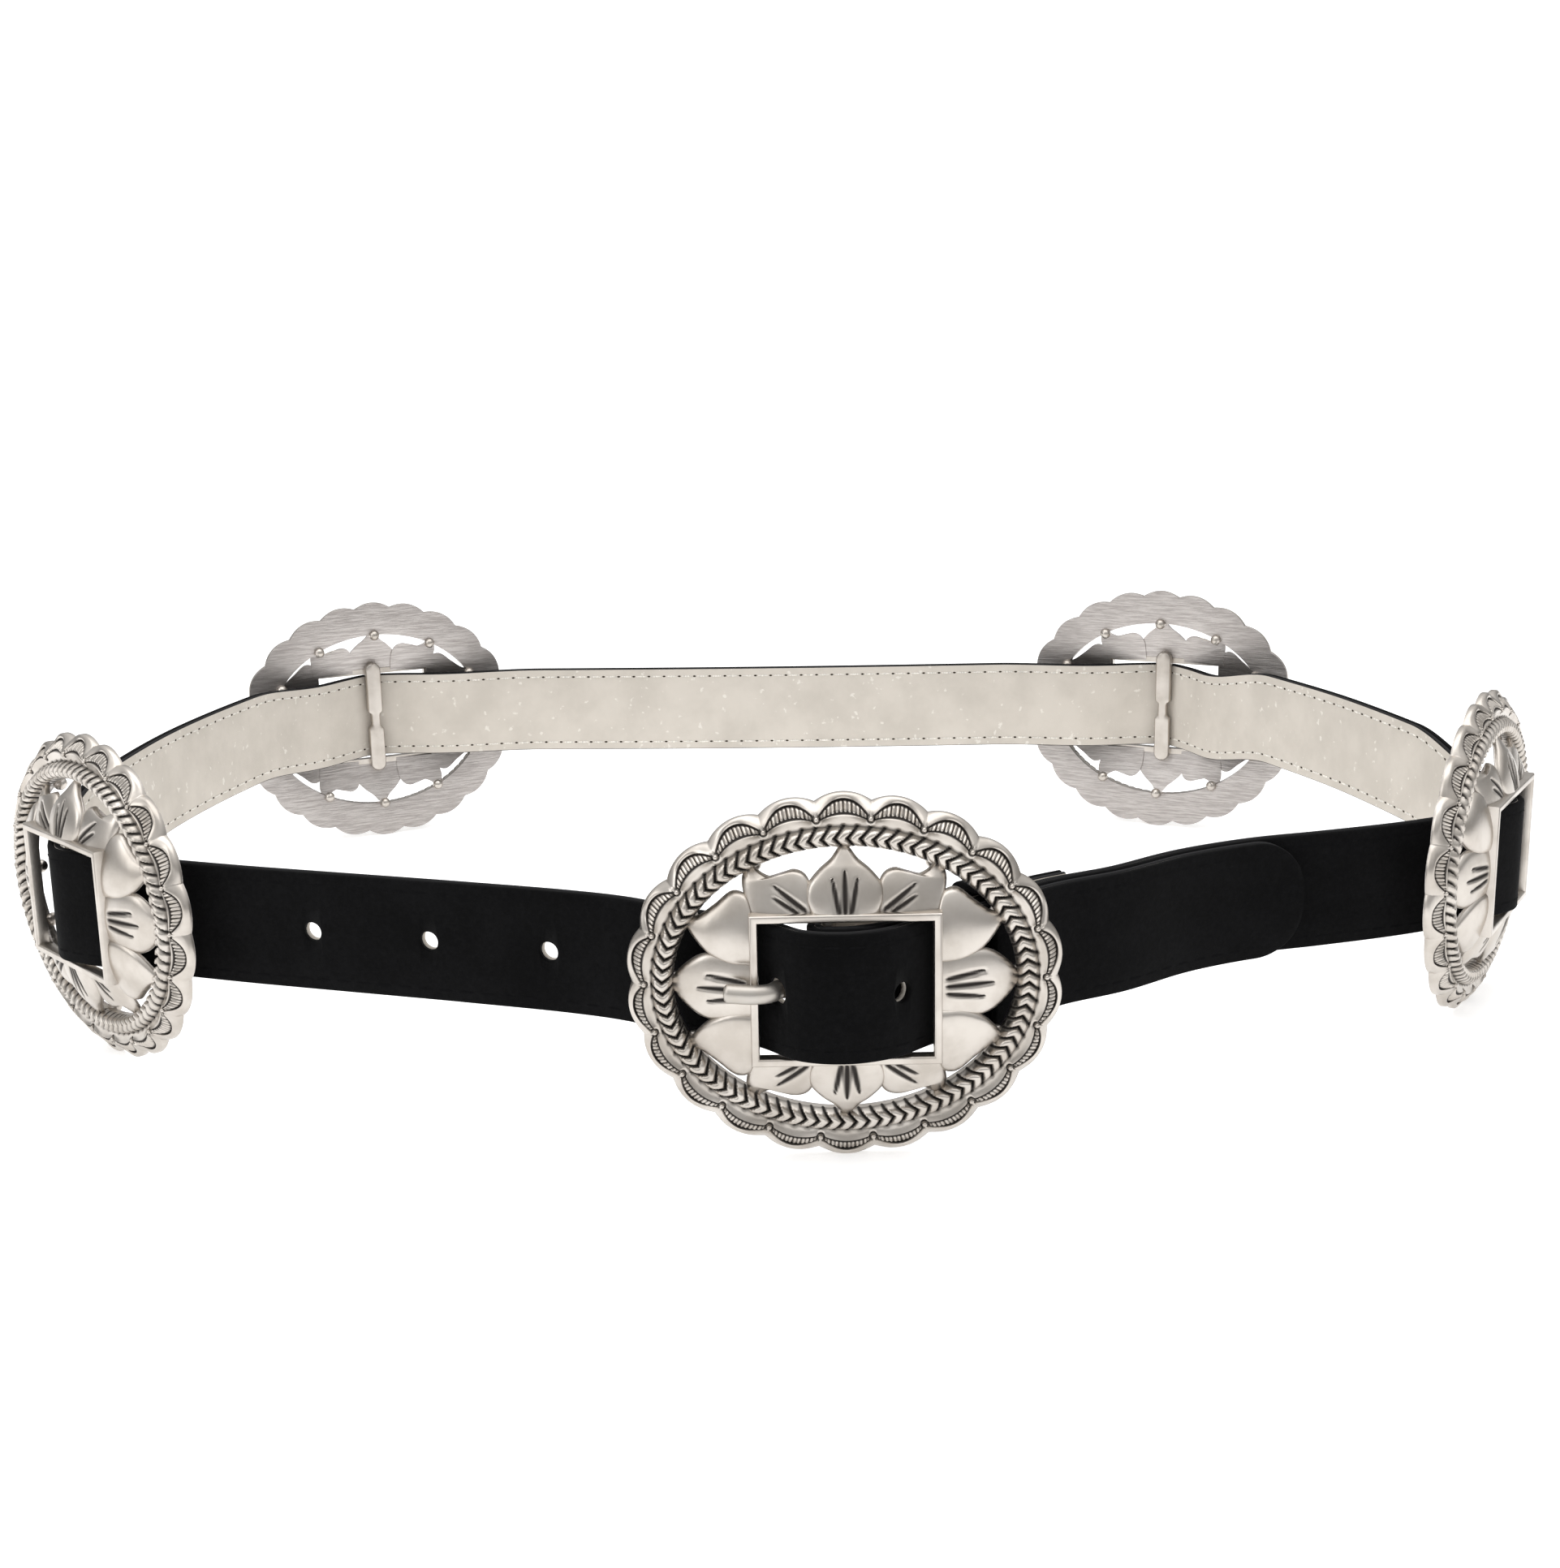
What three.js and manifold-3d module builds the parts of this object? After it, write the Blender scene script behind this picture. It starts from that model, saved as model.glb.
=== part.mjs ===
// A fastened concho belt, standing on edge in a loop: a lined suede strap that threads through four pierced
// oval conchos and closes in front with a tongue on a fifth oval, which is the buckle.
// Millimetres, +Z up, the buckle faces -Y, and the origin is on the floor under the middle of the loop.
import * as THREE from 'three';
import { mergeVertices } from 'three/addons/utils/BufferGeometryUtils.js';
import Module from 'manifold-3d';

const wasm = await Module();
wasm.setup();

// Loop, measured between the middles of the ovals
const loopWidth = 312;
const loopDepth = 246;

// Strap: a suede face over a pale lining
const strapWidth = 25.4;
const leatherThickness = 1.4;
const liningThickness = 1;
const pieceGap = 0.3;
const plyGap = 0.6;
const holeDiameter = 4.2;
const holeSpacing = 26.7;
const prongHoleDiameter = 5.4;
const prongHolePlace = 14.4;
const tipLength = 118;
const tipCornerRadius = 11;
const foldedEndLength = 50;

// Oval castings, alike for the buckle and the conchos
const ovalWidth = 84;
const ovalHeight = 73;
const rimThickness = 2.8;
const scallopCount = 22;
const scallopDepth = 2.1;
const scallopBandAcross = 5;
const scallopBandUp = 6.05;
const ropeHeightOverRim = 2;
const domeHeight = 7.5;
const petalThickness = 2;
const windowWidth = 33;
const windowHeight = 26.8;
const bezelBand = 1.6;
const bezelThickness = 2.7;
const bezelFace = 9.6;

// Flat bar behind each concho, and the round bar and tongue of the buckle
const backBarLength = 34;
const backBarWidth = 4.6;
const backBarWaist = 2.6;
const backBarThickness = 2.6;
const hingeBarDiameter = 2.6;
const hingeBarOffset = 3;
const tongueDiameter = 4;
const tongueReach = 23.2;
const tongueEyeHeight = 5;

// Leather keeper behind the right edge of the buckle
const keeperWidth = 9;
const keeperThickness = 1.6;
const keeperPlace = 34.5;

const strapThickness = leatherThickness + pieceGap + liningThickness;
const ropeWidth = ovalWidth - 2 * scallopBandAcross;
const ropeHeight = ovalHeight - 2 * scallopBandUp;
const halfOval = ovalWidth / 2;
const halfWindow = windowWidth / 2;
const bezelBack = bezelFace - bezelThickness;
const centreHeight = ovalHeight / 2;
const domePower = 3;
const ropeInner = 0.875;
const ropeSides = 28;
const quarterTurn = Math.PI / 2;

// Where each oval stands: shares of half the loop's width and depth, the turn of its face in degrees, how steeply
// the strap falls away before and after it, the bow of the strap's next span as a share of that span's length, and
// how far that span rises as a share of the strap's width
const ovals = [
  { name: 'buckle', across: 0.046, back: -1, turn: 0, before: 0, after: 0, bow: 0, rise: 0 },
  { name: 'concho_right', across: 0.987, back: -0.353, turn: 58.5, before: 31, after: 40, bow: 0.05, rise: 0.23 },
  { name: 'concho_back_right', across: 0.714, back: 0.945, turn: 154, before: 47, after: 31, bow: -0.013, rise: 0.05 },
  { name: 'concho_back_left', across: -0.819, back: 1, turn: 204.5, before: 30, after: 39, bow: 0.1, rise: 0.14 },
  { name: 'concho_left', across: -0.995, back: -0.482, turn: 312.7, before: 33, after: 28, bow: 0, rise: -0.01 },
];

// Petals of one quarter, from foot to tip, as shares of half the rope ring; over is how far a petal stands out from
// the lower ones. A petal on an axis has one side here and is mirrored across that axis.
const petalKinds = [
  { axis: 'up', over: 0.6, edge: [
    { across: 0.165, up: 0.456 }, { across: 0.192, up: 0.578 }, { across: 0.162, up: 0.677 },
    { across: 0.081, up: 0.765 }, { across: 0, up: 0.893 },
  ] },
  { axis: '', over: 0.2, edge: [
    { across: 0.16, up: 0.456 }, { across: 0.189, up: 0.709 }, { across: 0.26, up: 0.742 },
    { across: 0.34, up: 0.696 }, { across: 0.465, up: 0.785 }, { across: 0.514, up: 0.663 },
    { across: 0.495, up: 0.456 },
  ] },
  { axis: '', over: 0, edge: [
    { across: 0.459, up: 0.151 }, { across: 0.662, up: 0.197 }, { across: 0.773, up: 0.302 },
    { across: 0.827, up: 0.414 }, { across: 0.668, up: 0.522 }, { across: 0.573, up: 0.611 },
    { across: 0.492, up: 0.578 }, { across: 0.459, up: 0.44 },
  ] },
  { axis: 'across', over: 0.6, edge: [
    { across: 0.459, up: 0.185 }, { across: 0.608, up: 0.192 }, { across: 0.73, up: 0.2 },
    { across: 0.824, up: 0.128 }, { across: 0.908, up: 0 },
  ] },
];

// Course of the billet beside the buckle, sideways and out from the rim's back: shares of half an oval's width, and
// of the tip's length beyond the rim
const billetLeft = [
  { side: -1.88, out: -0.583 },
  { side: -1.31, out: -0.393 },
  { side: -1.04, out: -0.274 },
  { side: -0.71, out: -0.045 },
];
const billetRight = [
  { side: 0.6, out: -0.01 },
  { side: 0.74, out: -0.12 },
  { side: 0.88, out: -0.225 },
];
const billetTail = [
  { side: 0.381, out: -0.131 },
  { side: 0.491, out: -0.19 },
  { side: 0.6264, out: -0.288 },
  { side: 0.7617, out: -0.352 },
  { side: 0.8827, out: -0.386 },
];

function solidFrom(geometry) {
  const bare = geometry.index ? geometry.toNonIndexed() : geometry.clone();
  bare.deleteAttribute('normal');
  bare.deleteAttribute('uv');
  const closed = mergeVertices(bare, 1e-4);
  return new wasm.Manifold(new wasm.Mesh({
    numProp: 3,
    vertProperties: new Float32Array(closed.attributes.position.array),
    triVerts: new Uint32Array(closed.index.array),
  }));
}

function geometryFrom(solid) {
  const mesh = solid.getMesh();
  const geometry = new THREE.BufferGeometry();
  geometry.setAttribute('position', new THREE.BufferAttribute(new Float32Array(mesh.vertProperties), 3));
  geometry.setIndex(new THREE.BufferAttribute(new Uint32Array(mesh.triVerts), 1));
  return geometry;
}

function slab(outline, depth, holes = []) {
  const shape = new THREE.Shape(outline);
  shape.holes = holes.map((hole) => new THREE.Path(hole));
  return new THREE.ExtrudeGeometry(shape, { depth, bevelEnabled: false });
}

// Casting, drawn flat: x sideways, y up, z out from the rim's back

function domeLift(x, y) {
  const share = Math.hypot(x / (ropeWidth / 2), y / (ropeHeight / 2));
  return domeHeight * Math.max(0, 1 - share ** domePower);
}

function ovalPoint(width, height, turnShare) {
  return new THREE.EllipseCurve(0, 0, width / 2, height / 2, 0, 2 * Math.PI).getPointAt((turnShare + 1) % 1);
}

// Each scallop has three chords, so the lowest one lies flat on the floor
function rimOutline() {
  const points = [];
  const chords = 3;
  const notchWidth = ovalWidth - 2 * scallopDepth;
  const notchHeight = ovalHeight - 2 * scallopDepth;
  const crestShare = 1 - (1 / chords) ** 2;
  for (let scallop = 0; scallop < scallopCount; scallop += 1) {
    const start = ovalPoint(notchWidth, notchHeight, scallop / scallopCount);
    const end = ovalPoint(notchWidth, notchHeight, (scallop + 1) / scallopCount);
    const outward = new THREE.Vector2(end.y - start.y, start.x - end.x).normalize();
    for (let step = 0; step < chords; step += 1) {
      const share = step / chords;
      const swell = (1 - (2 * share - 1) ** 2) / crestShare * scallopBulge(start, end);
      points.push(start.clone().lerp(end, share).addScaledVector(outward, swell));
    }
  }
  return points;
}

// From the middle of the chord between two notches out to the crest
function scallopBulge(start, end) {
  const middle = start.clone().add(end).divideScalar(2);
  const reach = Math.hypot(middle.x / (ovalWidth / 2), middle.y / (ovalHeight / 2));
  return middle.length() * (1 / reach - 1);
}

function rim() {
  const holeShare = 0.985;
  const hole = [];
  for (let side = 0; side < ropeSides; side += 1) {
    const angle = side / ropeSides * 2 * Math.PI;
    hole.push(new THREE.Vector2(
      Math.cos(angle) * ropeWidth / 2 * holeShare,
      Math.sin(angle) * ropeHeight / 2 * holeShare,
    ));
  }
  return solidFrom(slab(rimOutline(), rimThickness, [hole]));
}

function ropeRing() {
  const crest = rimThickness + ropeHeightOverRim;
  const innerBack = domeHeight * (1 - ropeInner ** domePower);
  const skirt = 0.035 * rimThickness;
  const profile = [
    { out: 1, rise: skirt },
    { out: 1, rise: rimThickness + 0.4 * ropeHeightOverRim },
    { out: 0.96, rise: crest },
    { out: 0.91, rise: crest },
    { out: ropeInner, rise: innerBack },
    { out: 1, rise: skirt },
  ];
  const points = profile.map(({ out, rise }) => new THREE.Vector2(out, rise));
  const ring = new THREE.LatheGeometry(points, ropeSides);
  ring.rotateX(quarterTurn);
  ring.rotateZ(quarterTurn);
  ring.scale(ropeWidth / 2, ropeHeight / 2, 1);
  const solid = solidFrom(ring);
  return solid.volume() > 0 ? solid : solidFrom(flipped(ring));
}

function flipped(geometry) {
  const turned = geometry.clone();
  const index = turned.index.array;
  for (let corner = 0; corner < index.length; corner += 3) {
    [index[corner], index[corner + 1]] = [index[corner + 1], index[corner]];
  }
  return turned;
}

function petal(edge, over, acrossSign, upSign) {
  const outline = edge.map(({ across, up }) => (
    new THREE.Vector2(across * acrossSign * ropeWidth / 2, up * upSign * ropeHeight / 2)
  ));
  const geometry = slab(THREE.ShapeUtils.isClockWise(outline) ? outline.reverse() : outline, petalThickness);
  const places = geometry.attributes.position;
  for (let corner = 0; corner < places.count; corner += 1) {
    const lift = domeLift(places.getX(corner), places.getY(corner));
    const raised = places.getZ(corner) > 0 ? over : 0;
    places.setZ(corner, places.getZ(corner) + lift + raised);
  }
  return solidFrom(geometry);
}

function wholeEdge({ axis, edge }) {
  const otherSide = edge.slice(0, -1).reverse();
  if (axis === 'up') return [...edge, ...otherSide.map(({ across, up }) => ({ across: -across, up }))];
  if (axis === 'across') return [...edge, ...otherSide.map(({ across, up }) => ({ across, up: -up }))];
  return edge;
}

function petals() {
  return petalKinds.flatMap((kind) => {
    const acrossSigns = kind.axis === 'up' ? [1] : [1, -1];
    const upSigns = kind.axis === 'across' ? [1] : [1, -1];
    return acrossSigns.flatMap((acrossSign) => (
      upSigns.map((upSign) => petal(wholeEdge(kind), kind.over, acrossSign, upSign))
    ));
  });
}

function rectangle(width, height) {
  const corners = [[-1, -1], [1, -1], [1, 1], [-1, 1]];
  return corners.map(([x, y]) => new THREE.Vector2(x * width / 2, y * height / 2));
}

function bezel() {
  const outer = rectangle(windowWidth + 2 * bezelBand, windowHeight + 2 * bezelBand);
  const frame = slab(outer, bezelThickness, [rectangle(windowWidth, windowHeight)]);
  frame.translate(0, 0, bezelBack);
  return solidFrom(frame);
}

function windowCut() {
  const cut = new THREE.BoxGeometry(windowWidth, windowHeight, 4 * domeHeight);
  return solidFrom(cut);
}

function casting() {
  const leaves = petals().reduce((whole, leaf) => whole.add(leaf)).subtract(windowCut());
  const pieces = [ropeRing(), leaves, bezel()];
  return pieces.reduce((whole, piece) => whole.add(piece), rim());
}

const backBarFace = bezelBack + pieceGap;

// Round-ended bar with a narrow waist just below its middle
function backBar() {
  const half = backBarWidth / 2;
  const waist = backBarWaist / 2;
  const end = backBarLength / 2 - half;
  const waistTop = 0;
  const waistBottom = -backBarWidth;
  const slope = half - waist;
  const outline = new THREE.Shape();
  outline.moveTo(-half, -end);
  outline.absarc(0, -end, half, Math.PI, 2 * Math.PI, false);
  outline.lineTo(half, waistBottom - slope);
  outline.lineTo(waist, waistBottom);
  outline.lineTo(waist, waistTop);
  outline.lineTo(half, waistTop + slope);
  outline.lineTo(half, end);
  outline.absarc(0, end, half, 0, Math.PI, false);
  outline.lineTo(-half, waistTop + slope);
  outline.lineTo(-waist, waistTop);
  outline.lineTo(-waist, waistBottom);
  outline.lineTo(-half, waistBottom - slope);
  const settings = { depth: backBarThickness, bevelEnabled: false, curveSegments: 6 };
  const bar = new THREE.ExtrudeGeometry(outline, settings);
  bar.translate(0, 0, backBarFace - backBarThickness);
  return solidFrom(bar);
}

const hingeBarHeight = bezelBack + pieceGap;

function hingeBar() {
  const radius = hingeBarDiameter / 2;
  const bar = new THREE.CylinderGeometry(radius, radius, windowHeight + bezelBand, 10);
  bar.translate(-hingeBarOffset, 0, hingeBarHeight);
  return solidFrom(bar);
}

// Strap, drawn from above: its suede face is a line of points, followed counter-clockwise round the loop

const plyStep = strapThickness + plyGap;
const foldRadius = hingeBarDiameter / 2 + pieceGap + strapThickness;
const conchoCrown = backBarFace + 4 * pieceGap + strapThickness;
const billetCrown = hingeBarHeight + foldRadius + plyStep;
const sill = domeLift(halfWindow + bezelBand, strapWidth / 2) - 3 * pieceGap;

function ovalCentre(oval) {
  return new THREE.Vector2(oval.across * loopWidth / 2, oval.back * loopDepth / 2);
}

function fromOval(oval, side, out) {
  const turn = THREE.MathUtils.degToRad(oval.turn);
  const sideways = new THREE.Vector2(Math.cos(turn), Math.sin(turn));
  const outward = new THREE.Vector2(Math.sin(turn), -Math.cos(turn));
  return ovalCentre(oval).addScaledVector(sideways, side).addScaledVector(outward, out);
}

// Rise of the strap at a point, none at the two ovals that it lies between
function riseAt(point) {
  const wholeTurn = 2 * Math.PI;
  const passed = (spot) => (spot.angle() - ovalCentre(ovals[0]).angle() + wholeTurn) % wholeTurn;
  const first = ovals.findLastIndex((oval) => passed(ovalCentre(oval)) <= passed(point));
  return [ovals[first], ovals[(first + 1) % ovals.length]].reduce((rise, oval) => (
    rise * THREE.MathUtils.smoothstep(ovalCentre(oval).distanceTo(point), 0.35 * halfOval, 1.2 * halfOval)
  ), ovals[first].rise * strapWidth);
}

// Bent over the bar in the window, then straight down behind the bezel and the rim
function overConcho(oval) {
  const bend = halfWindow / 2;
  const behindRim = halfOval * 0.68;
  const fall = (degrees, distance) => conchoCrown - distance * Math.tan(THREE.MathUtils.degToRad(degrees));
  return [
    fromOval(oval, -behindRim, fall(oval.before, behindRim - bend / 2)),
    fromOval(oval, -bend, fall(oval.before, bend * 0.55)),
    fromOval(oval, 0, conchoCrown),
    fromOval(oval, bend, fall(oval.after, bend * 0.55)),
    fromOval(oval, behindRim, fall(oval.after, behindRim - bend / 2)),
  ];
}

// Middle of the span between two conchos, bowed outwards
function middleOfSpan(oval, next) {
  if (!next) return [];
  const start = fromOval(oval, 0, conchoCrown);
  const along = fromOval(next, 0, conchoCrown).sub(start);
  const outward = new THREE.Vector2(along.y, -along.x);
  return [start.addScaledVector(along, 0.5).addScaledVector(outward, oval.bow)];
}

function smoothLine(points, step) {
  const curve = new THREE.CatmullRomCurve3(points.map(({ x, y }) => new THREE.Vector3(x, y, 0)));
  curve.arcLengthDivisions = 2000;
  const count = Math.round(curve.getLength() / step);
  return curve.getSpacedPoints(count).map(({ x, y }) => new THREE.Vector2(x, y));
}

// Outward side of a line that is followed counter-clockwise
function outwardAt(line, place) {
  const before = line[Math.max(place - 1, 0)];
  const after = line[Math.min(place + 1, line.length - 1)];
  const along = after.clone().sub(before).normalize();
  return new THREE.Vector2(along.y, -along.x);
}

function offsetLine(line, distance) {
  return line.map((point, place) => point.clone().addScaledVector(outwardAt(line, place), distance));
}

const [buckle, ...conchos] = ovals;
const lineStep = 3;

function billetOverBuckle() {
  const onBuckle = ({ side, out }) => fromOval(buckle, side * halfOval, out * halfOval);
  const behindBezel = halfWindow + bezelBand / 2;
  const shoulder = sill + (billetCrown - sill) * 0.74;
  const overFold = (foldRadius + plyStep + plyGap) * Math.SQRT1_2;
  return [
    ...billetLeft.map(onBuckle),
    fromOval(buckle, -behindBezel, sill),
    fromOval(buckle, -hingeBarOffset - overFold, hingeBarHeight + overFold),
    fromOval(buckle, 0, billetCrown),
    fromOval(buckle, behindBezel / 2, shoulder),
    fromOval(buckle, behindBezel, sill),
    ...billetRight.map(onBuckle),
    ...billetTail.map(({ side, out }) => fromOval(buckle, side * tipLength, out * tipLength)),
  ];
}

function distancesAlong(line) {
  let sum = 0;
  return line.map((point, place) => {
    sum += place ? point.distanceTo(line[place - 1]) : 0;
    return sum;
  });
}

const billetLine = smoothLine(billetOverBuckle(), lineStep / 3);
const billetDistances = distancesAlong(billetLine);
const crownPlace = billetLine.reduce((best, point, place) => (point.y < billetLine[best].y ? place : best), 0);

// The strap's own end lies under the billet, goes round the hinge bar and comes back inside
function plyUnderBillet() {
  const foldCentre = fromOval(buckle, -hingeBarOffset, hingeBarHeight);
  const start = billetLine.findIndex((point) => point.x > foldCentre.x);
  const outer = offsetLine(billetLine, -plyStep).slice(start + 2);
  const fold = [];
  const foldSides = 10;
  for (let side = 0; side <= foldSides; side += 1) {
    const angle = quarterTurn + side / foldSides * Math.PI;
    fold.push(new THREE.Vector2(
      foldCentre.x + foldRadius * Math.cos(angle),
      foldCentre.y + foldRadius * Math.sin(angle),
    ));
  }
  const closed = offsetLine(outer, -(2 * strapThickness + plyGap));
  const route = closed.filter(({ x }, place) => (
    place % 6 === 0 && x > foldCentre.x + 2.2 * foldRadius && x < foldCentre.x + foldedEndLength
  ));
  const foldedEnd = smoothLine([fold[1], fold[0], ...route], lineStep / 3);
  const leaves = foldedEnd.findIndex(({ x }) => x > foldCentre.x);
  return { foldedEnd: foldedEnd.slice(leaves + 1).reverse(), fold, outer };
}

// Fewer points where a line is nearly straight
function thinned(line, tolerance) {
  const kept = [line[0]];
  let from = 0;
  const longest = halfOval / 2;
  while (from < line.length - 1) {
    let to = from + 1;
    while (to + 1 < line.length && line[from].distanceTo(line[to + 1]) < longest
      && staysNear(line, from, to + 1, tolerance)) to += 1;
    kept.push(line[to]);
    from = to;
  }
  return kept;
}

function staysNear(line, from, to, tolerance) {
  const start = line[from];
  const along = line[to].clone().sub(start).normalize();
  return line.slice(from + 1, to).every((point) => {
    const offset = point.clone().sub(start);
    return Math.abs(offset.x * along.y - offset.y * along.x) < tolerance;
  });
}

function wholeLine() {
  const { foldedEnd, fold, outer } = plyUnderBillet();
  const under = outer.length;
  const tip = outer[under - 1];
  const round = smoothLine([
    outer[under - 12], outer[under - 6], tip,
    ...conchos.flatMap((oval, place) => [...overConcho(oval), ...middleOfSpan(oval, conchos[place + 1])]),
    billetLine[0], billetLine[4], billetLine[8],
  ], lineStep);
  const fromTip = round.findIndex((point) => point.x > tip.x);
  const untilBillet = round.length - 1 - [...round].reverse().findIndex((point) => point.x < billetLine[0].x);
  return [
    ...foldedEnd, ...fold, ...outer, ...round.slice(fromTip + 1, untilBillet), ...billetLine,
  ];
}

const courseLine = wholeLine();
const courseDistances = distancesAlong(courseLine);
const crownDistance = courseDistances[courseLine.indexOf(billetLine[crownPlace])];
const suedeLine = thinned(courseLine, 0.16);

// A wall between two offsets inwards from the suede face, as tall as the strap
function ribbon(outerOffset, thickness) {
  const outer = offsetLine(suedeLine, -outerOffset);
  const inner = offsetLine(suedeLine, -outerOffset - thickness);
  const outline = [...outer, ...inner.reverse()];
  const wall = slab(THREE.ShapeUtils.isClockWise(outline) ? outline.reverse() : outline, strapWidth);
  const places = wall.attributes.position;
  for (let corner = 0; corner < places.count; corner += 1) {
    const rise = riseAt(new THREE.Vector2(places.getX(corner), places.getY(corner)));
    places.setZ(corner, places.getZ(corner) + centreHeight - strapWidth / 2 + rise);
  }
  return solidFrom(wall);
}

// Point and outward side of the strap at a distance along it from the middle of the buckle
function onStrap(distance) {
  const place = courseDistances.findIndex((travelled) => travelled >= crownDistance + distance);
  return { point: courseLine[place], outward: outwardAt(courseLine, place) };
}

// Turns +Z to an outward side, with +Y kept upright
function facing(outward) {
  const up = new THREE.Vector3(0, 0, 1);
  const out = new THREE.Vector3(outward.x, outward.y, 0);
  return new THREE.Matrix4().makeBasis(up.clone().cross(out), up, out);
}

function placedOnStrap(geometry, distance, inwards) {
  const { point, outward } = onStrap(distance);
  const middle = point.clone().addScaledVector(outward, -inwards);
  geometry.applyMatrix4(facing(outward));
  geometry.translate(middle.x, middle.y, centreHeight + riseAt(middle));
  return solidFrom(geometry);
}

function punch(distance, diameter) {
  const hole = new THREE.CylinderGeometry(diameter / 2, diameter / 2, 2 * strapThickness, 8);
  hole.rotateX(quarterTurn);
  return placedOnStrap(hole, distance, strapThickness / 2);
}

const firstHole = -4;
const lastHole = 2;

function holePunches() {
  const solids = [];
  for (let hole = firstHole; hole <= lastHole; hole += 1) {
    const diameter = hole === 0 ? prongHoleDiameter : holeDiameter;
    solids.push(punch(-prongHolePlace + hole * holeSpacing, diameter));
  }
  return solids;
}

// What the rounded corners of the tip leave away
function tipCutter() {
  const corner = strapWidth / 2;
  const beyond = strapWidth;
  const outline = new THREE.Shape();
  outline.moveTo(-tipCornerRadius, corner + pieceGap);
  outline.lineTo(-tipCornerRadius, corner);
  outline.absarc(-tipCornerRadius, corner - tipCornerRadius, tipCornerRadius, quarterTurn, 0, true);
  outline.lineTo(0, tipCornerRadius - corner);
  outline.absarc(-tipCornerRadius, tipCornerRadius - corner, tipCornerRadius, 0, -quarterTurn, true);
  outline.lineTo(-tipCornerRadius, -corner - pieceGap);
  outline.lineTo(beyond, -corner - pieceGap);
  outline.lineTo(beyond, corner + pieceGap);
  const depth = strapThickness + plyGap;
  const cutter = new THREE.ExtrudeGeometry(outline, { depth, bevelEnabled: false, curveSegments: 4 });
  cutter.translate(0, 0, -depth / 2);
  return placedOnStrap(cutter, tipLength, strapThickness / 2);
}

const tongueRadius = tongueDiameter / 2;
const eyeRadius = hingeBarDiameter / 2 + pieceGap + tongueRadius * 0.8;

function intoPlace(solid, oval) {
  const turn = THREE.MathUtils.degToRad(oval.turn);
  const geometry = geometryFrom(solid);
  const centre = ovalCentre(oval);
  geometry.applyMatrix4(facing(new THREE.Vector2(Math.sin(turn), -Math.cos(turn))));
  geometry.translate(centre.x, centre.y, centreHeight);
  return solidFrom(geometry);
}

// Slot in the fold that leaves the tongue's eye free
function foldSlot() {
  const low = -hingeBarOffset - foldRadius - pieceGap;
  const high = -hingeBarOffset + eyeRadius + pieceGap;
  const depth = 2 * (foldRadius + pieceGap);
  const slot = new THREE.BoxGeometry(high - low, tongueEyeHeight + 2 * pieceGap, depth);
  slot.translate((low + high) / 2, 0, hingeBarHeight);
  return intoPlace(solidFrom(slot), buckle);
}

function strapWall(outerOffset, thickness) {
  const cuts = [...holePunches(), tipCutter(), foldSlot()];
  return cuts.reduce((wall, cut) => wall.subtract(cut), ribbon(outerOffset, thickness));
}

// From its eye on the hinge bar, up through the strap and over the bezel's left side
function tongue() {
  const over = bezelFace + pieceGap + tongueRadius;
  const course = [
    { side: -hingeBarOffset - eyeRadius * 0.7, out: hingeBarHeight },
    { side: -hingeBarOffset - foldRadius, out: hingeBarHeight - 0.2 },
    { side: -prongHolePlace * 0.87, out: hingeBarHeight + 0.1 * over },
    { side: -halfWindow + tongueRadius * 1.2, out: over - tongueRadius * 0.45 },
    { side: -halfWindow - bezelBand / 2, out: over + tongueRadius * 0.2 },
    { side: -tongueReach + tongueRadius, out: over },
  ];
  const curve = new THREE.CatmullRomCurve3(course.map(({ side, out }) => new THREE.Vector3(side, 0, out)));
  const section = new THREE.Shape();
  section.absarc(0, 0, tongueRadius, 0, 2 * Math.PI);
  const rod = new THREE.ExtrudeGeometry(new THREE.Shape(section.getPoints(4).slice(0, -1)), {
    steps: 9, bevelEnabled: false, extrudePath: curve,
  });
  const nose = new THREE.SphereGeometry(tongueRadius, 8, 5);
  const end = course[course.length - 1];
  nose.translate(end.side, 0, end.out);
  const eye = new THREE.CylinderGeometry(eyeRadius, eyeRadius, tongueEyeHeight, 12);
  eye.translate(-hingeBarOffset, 0, hingeBarHeight);
  const boreRadius = hingeBarDiameter / 2 + pieceGap;
  const bore = new THREE.CylinderGeometry(boreRadius, boreRadius, 2 * tongueEyeHeight, 12);
  bore.translate(-hingeBarOffset, 0, hingeBarHeight);
  return solidFrom(rod).add(solidFrom(nose)).add(solidFrom(eye)).subtract(solidFrom(bore));
}

// Closed leather loop round the billet and the two plies under it
function keeper() {
  const clearance = 2 * pieceGap;
  const plies = 2 * plyStep + strapThickness;
  const height = strapWidth + 4 * clearance;
  const depth = plies + 2 * clearance;
  const outer = rectangle(depth + 2 * keeperThickness, height + 2 * keeperThickness);
  const loop = slab(outer, keeperWidth, [rectangle(depth, height)]);
  loop.translate(0, 0, -keeperWidth / 2);
  loop.rotateY(quarterTurn);
  return placedOnStrap(loop, keeperPlace + foldRadius, plies / 2);
}

const silver = { color: 0xb9b5ae, roughness: 0.32, metalness: 1 };
const suede = { color: 0x0c0c0d, roughness: 0.95, metalness: 0 };
const paleLeather = { color: 0xccc4b6, roughness: 0.8, metalness: 0 };

function part(name, solid, finish) {
  const mesh = new THREE.Mesh(geometryFrom(solid), new THREE.MeshStandardMaterial(finish));
  mesh.name = name;
  return mesh;
}

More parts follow.
